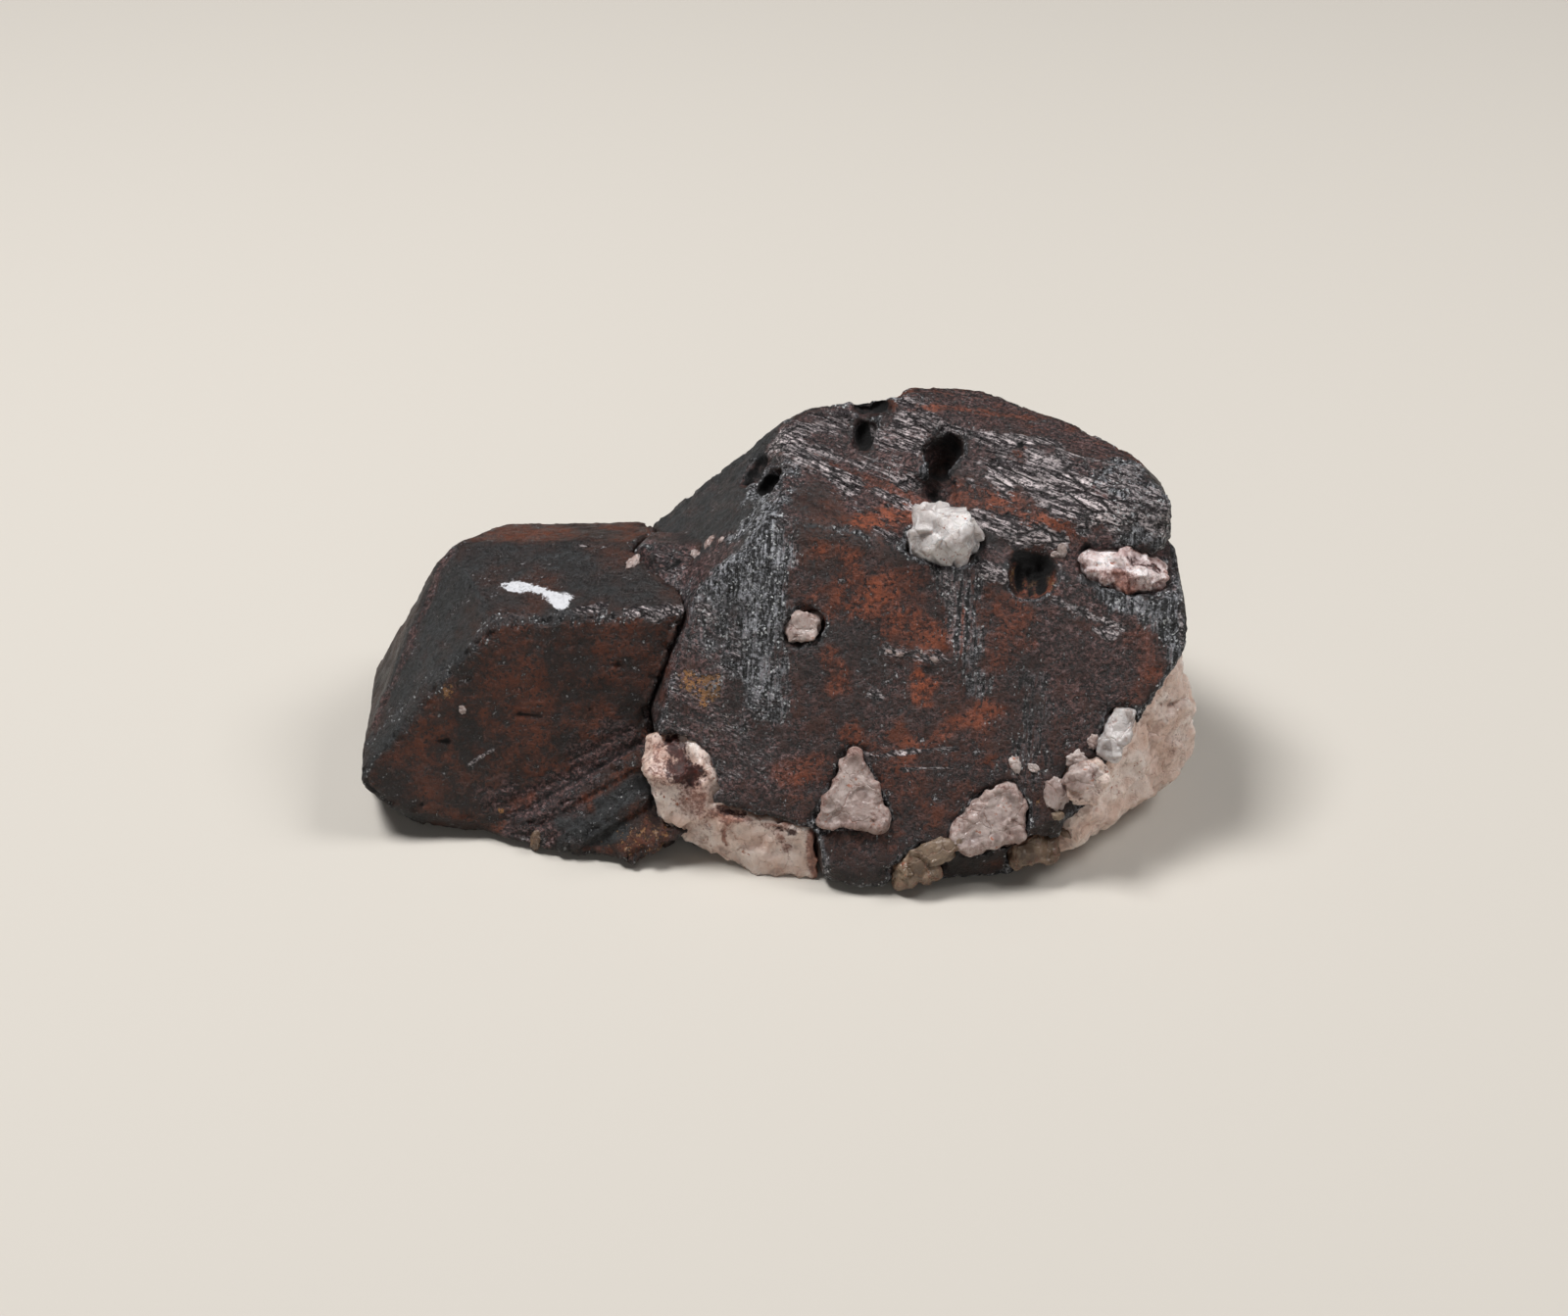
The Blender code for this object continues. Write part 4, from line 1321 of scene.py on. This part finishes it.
    Mark(Cover.PIT_SHADE, ((918, 680),), 0.8, 0.6, -0.1),
    Mark(Cover.PIT_SHADE, ((948, 684),), 0.9, 0.6, -0.1),
    Mark(Cover.SILVER, ((880, 770), (900, 771), (926, 767), (978, 764)), 0.5, 0.75, -0.06),
    Mark(Cover.SILVER, ((922, 785), (974, 783)), 0.26, 0.8, -0.04),
    # The right of the front: dark purple, with silvery layers at its top edge.
    Mark(Cover.TARNISH, ((1080, 650), (1120, 700), (1150, 660)), 9.0, 0.75),
    Mark(Cover.SILVER, ((1075, 612), (1110, 626), (1145, 641)), 0.7, 0.85),
    Mark(Cover.SILVER, ((1090, 622), (1130, 637)), 0.5, 0.85),
    Mark(Cover.SILVER, ((1117, 643), (1134, 646)), 0.9, 1.0),
    Mark(Cover.TARNISH, ((1090, 605), (1150, 625)), 3.0, 1.0),
    Mark(Cover.GRIT, ((1140, 602), (1185, 618), (1200, 660)), 3.4, 0.85),
    Mark(Cover.GRIT, ((1040, 700), (1050, 760), (1040, 790)), 4.5, 0.5),
    Mark(Cover.SILVER, ((1204, 625), (1208, 658)), 0.6, 0.7),
    Mark(Cover.RUST, ((1165, 650), (1180, 690), (1160, 705)), 2.6, 0.5),
    # The foot of the front: dark, then a crust of brownish grains.
    Mark(Cover.TARNISH, ((860, 870), (910, 880)), 4.0, 0.5),
    Mark(Cover.FILM, ((940, 870), (1040, 870)), 5.0, 1.0),
    Mark(Cover.OCHRE, ((930, 893), (1000, 893), (1050, 878)), 2.4, 0.35),
    Mark(Cover.OCHRE, ((1072, 820), (1085, 860)), 2.4, 0.35),
    # Iron stains on the quartz, and painted shade in its sunk pits and seams.
    Mark(Cover.PIT_SHADE, ((690, 754), (693, 775), (704, 797)), 2.3, 0.85, -0.5),
    Mark(Cover.STAIN, ((665, 765), (690, 790), (715, 800)), 7.0, 0.4),
    Mark(Cover.STAIN, ((684, 760), (695, 788), (706, 812)), 3.6, 0.65),
    Mark(Cover.STAIN, ((704, 830), (720, 836)), 1.2, 0.4),
    Mark(Cover.STAIN, ((733, 829), (775, 838), (800, 846), (830, 843)), 1.4, 0.75),
    Mark(Cover.STAIN, ((746, 831), (740, 846), (742, 861)), 0.4, 0.9),
    Mark(Cover.STAIN, ((795, 848), (802, 866)), 1.4, 0.75),
    Mark(Cover.STAIN, ((829, 850), (833, 892)), 1.0, 0.9),
    Mark(Cover.PIT_SHADE, ((654, 798), (666, 812), (668, 832)), 1.9, 0.7, -0.3),
    Mark(Cover.STAIN, ((656, 784), (669, 815), (666, 836)), 3.4, 0.6),
    Mark(Cover.PIT_SHADE, ((735, 826), (760, 832)), 0.7, 0.7, -0.2),
    Mark(Cover.PIT_SHADE, ((790, 846), (808, 850)), 0.8, 0.7, -0.2),
    Mark(Cover.PIT_SHADE, ((1109, 562), (1113, 590)), 1.1, 0.8, -0.3),
    Mark(Cover.STAIN, ((1140, 585), (1150, 600)), 1.2, 0.8, -0.15),
    Mark(Cover.PIT_SHADE, ((1160, 572), (1186, 582)), 1.2, 0.6, -0.2),
    Mark(Cover.STAIN, ((1188, 710),), 1.2, 0.9),
    Mark(Cover.STAIN, ((1180, 730), (1205, 765)), 3.0, 0.22),
    Mark(Cover.STAIN, ((1120, 790), (1150, 760)), 2.5, 0.25),
)

PALE_CRUMBS = (
    Crumb((472, 724), 0.32),
    Crumb((646, 574), 0.50, 2.2),
    Crumb((724, 553), 0.42, 1.8),
    Crumb((711, 566), 0.40, 1.6),
    Crumb((736, 551), 0.28),
    Crumb((907, 665), 0.16, 1.9, 0.4),
    Crumb((918, 668), 0.22, 1.6, 0.4),
    Crumb((940, 666), 0.13, 2.2, 0.4),
    Crumb((953, 673), 0.22, 1.8, 0.4),
    Crumb((1036, 780), 0.50, 1.6, 0.4),
    Crumb((1055, 784), 0.38, 1.4, 0.4),
    Crumb((1098, 774), 0.65, 1.3),
    Crumb((1115, 757), 0.50, 1.3),
    Crumb((1104, 793), 1.20, 1.4, 0.5),
    Crumb((1078, 810), 1.00, 1.4, 0.5),
    Crumb((1084, 562), 0.40, 1.6, 0.5),
    Crumb((1078, 566), 0.30, 1.6, 0.5),
)
BROWN_CRUMBS = (
    Crumb((546, 858), 0.55, 2.0),
    Crumb((835, 893), 0.60, 1.5),
    Crumb((926, 893), 0.55, 1.4),
    Crumb((958, 868), 1.10, 2.0, 0.5),
    Crumb((1086, 850), 0.50, 1.3),
    Crumb((1080, 832), 0.40, 1.3),
)

# What covers each face of the large crystal: its back and sides, its underside, its front, its
# top, its crest and its left facet.
LARGE_LOOKS = (
    FacetLook(0, 90, 100, {Cover.FILM: 0.55, Cover.TARNISH: 0.45, Cover.GRIT: 0.12}),
    FacetLook(180, 180, 80, {Cover.FILM: 0.5, Cover.TARNISH: 0.3, Cover.GRIT: 0.3}),
    FacetLook(
        184, 53.6, 26, {Cover.FILM: 0.55, Cover.TARNISH: 0.5, Cover.GRIT: 0.16, Cover.SLATE: 0.4}
    ),
    FacetLook(
        150, 10, 26, {Cover.TARNISH: 0.7, Cover.FILM: 0.6, Cover.SILVER: 0.25, Cover.SLATE: 0.3}
    ),
    FacetLook(
        214, 26, 12, {Cover.TARNISH: 0.75, Cover.FILM: 0.5, Cover.SILVER: 0.4, Cover.GRIT: 0.15}
    ),
    FacetLook(
        270, 39.5, 16, {Cover.SLATE: 1.0, Cover.TARNISH: 0.3, Cover.FILM: 0.15, Cover.GRIT: 0.05}
    ),
)
# The same for the small crystal: its back and sides, its underside, its front, its top and its end.
SMALL_LOOKS = (
    FacetLook(0, 90, 100, {Cover.FILM: 0.8, Cover.TARNISH: 0.3}),
    FacetLook(180, 180, 80, {Cover.FILM: 0.6, Cover.GRIT: 0.3}),
    FacetLook(176, 71.4, 34, {Cover.FILM: 1.2}),
    FacetLook(247, 1.7, 14, {Cover.FILM: 0.4, Cover.SLATE: 0.5}),
    FacetLook(247, 44.2, 18, {Cover.SLATE: 0.65, Cover.TARNISH: 0.15, Cover.FILM: 0.15}),
)


# How quartz breaks: in the matrix, in grey lumps, in the sharp knob and in the jagged vein.
BROKEN = Relief(
    waves=0.2,
    wave_size=3.5,
    grain=0.05,
    grain_size=1.1,
    fracture=0.16,
    fracture_size=3.2,
    ragged=0.3,
    ragged_size=1.1,
)
LUMPY = Relief(
    waves=0.12,
    wave_size=2.6,
    grain=0.03,
    grain_size=0.7,
    fracture=0.1,
    ragged=0.5,
    ragged_size=1.3,
)
SHARP = Relief(
    waves=0.2, wave_size=2.0, grain=0.03, grain_size=0.6, fracture=0.42, fracture_size=2.1
)
JAGGED = Relief(
    waves=0.2,
    wave_size=1.6,
    grain=0.05,
    grain_size=0.6,
    fracture=0.3,
    fracture_size=1.5,
    ragged=0.5,
    ragged_size=1.6,
)


def dress_crystals(placed: dict[str, list[tuple[Mark, list[Vector]]]]) -> None:
    """Makes both crystals.

    Args:
        placed: The marks on each node, with their middle lines.
    """
    ferberite = FerberiteFinish().make()
    Crystal(
        node="large_crystal",
        slot="ferberite",
        voxel=0.325,
        wear=1,
        material=ferberite,
        edge_wear=10,
        looks=LARGE_LOOKS,
        striated=1.0,
        layered=1.0,
    ).build(placed)
    Crystal(
        node="small_crystal",
        slot="ferberite",
        voxel=0.24,
        wear=2,
        material=ferberite,
        edge_wear=22,
        swell=0.3,
        looks=SMALL_LOOKS,
        ledged=0.22,
        sparkling=0.4,
        seed=40,
        towards=TOWARDS_LARGE,
    ).build(placed)


def dress_quartz(placed: dict[str, list[tuple[Mark, list[Vector]]]], sight: Sight) -> None:
    """Makes the matrix, the quartz pieces in the large crystal's faces, and the crumbs.

    Args:
        placed: The marks on each node, with their middle lines.
        sight: What finds each crumb's place.
    """
    milky = QuartzFinish().make()
    glassy = QuartzFinish(
        "glassy_quartz", "#b3aba8", "#e0dbd9", "#857a76", sugar=1.7, slope=0.7, shine=(0.03, 0.2)
    ).make()
    grey = QuartzFinish(
        "grey_quartz",
        "#957f78",
        "#bcaca6",
        "#6e5a55",
        cloud=0.3,
        sugar=0.5,
        slope=0.3,
        shine=(0.1, 0.5),
    ).make()
    pink = QuartzFinish(
        "sugary_quartz", "#b79c99", "#efe6e5", "#765b59", sugar=0.5, slope=0.5
    ).make()
    brown = QuartzFinish(
        "stained_quartz", "#6b5645", "#8b7864", "#43332b", cloud=0.1, slope=0.8
    ).make()
    QuartzPiece(
        node="quartz_matrix",
        slot="milky_quartz",
        voxel=0.28,
        wear=1,
        material=milky,
        edge_wear=2,
        swell=0.26,
        relief=BROKEN,
        seed=60,
    ).build(placed)
    # Each piece's node, finish, relief, swell, stained rim and open side, and whether it is flush.
    enclosed = (
        ("quartz_wedge", grey, LUMPY, 0.42, 0.35, LARGE_FRONT, True),
        ("quartz_lens", grey, LUMPY, 0.38, 0.3, LARGE_FRONT, True),
        ("quartz_knob", glassy, SHARP, 0.1, 0.0, BED_OPENS, False),
        ("quartz_vein", pink, JAGGED, 0.34, 0.5, BED_OPENS, False),
        ("quartz_chip", glassy, LUMPY, 0.2, 0.2, LARGE_FRONT, True),
        ("quartz_pebble", milky, LUMPY, 0.3, 0.3, LARGE_FRONT, True),
        ("quartz_eye", grey, LUMPY, 0.1, 0.2, LARGE_FRONT, True),
        ("quartz_grain_low", brown, LUMPY, 0.3, 0.3, LARGE_FRONT, False),
        ("quartz_grain_right", brown, LUMPY, 0.3, 0.3, LARGE_FRONT, False),
    )
    for number, (name, finish, relief, swell, rim, side, flush) in enumerate(enclosed):
        QuartzPiece(
            node=name,
            slot="milky_quartz",
            voxel=0.14,
            wear=1,
            material=finish,
            edge_wear=3,
            swell=swell,
            relief=relief,
            seed=80 + number,
            open_side=side,
            rim=rim,
            flush=flush,
        ).build(placed)
    Crumbs("quartz_crumbs", PALE_CRUMBS, grey).build(sight)
    Crumbs("stained_crumbs", BROWN_CRUMBS, brown, seed=9).build(sight)


def main() -> None:
    """Builds the studio, the crystals, the quartz and the crumbs."""
    logging.basicConfig(level=logging.INFO, format="%(name)s %(message)s")
    camera = PhotoCamera()
    camera.make()
    Studio().make()
    sight = Sight(camera)
    placed: dict[str, list[tuple[Mark, list[Vector]]]] = {}
    for mark in MARKS:
        found = sight.path(mark)
        if found:
            placed.setdefault(found[0], []).append((mark, found[1]))
        else:
            log.info("mark off the specimen: %s %s", mark.cover.value, mark.path)
    dress_crystals(placed)
    dress_quartz(placed, sight)


if __name__ == "__main__":
    main()
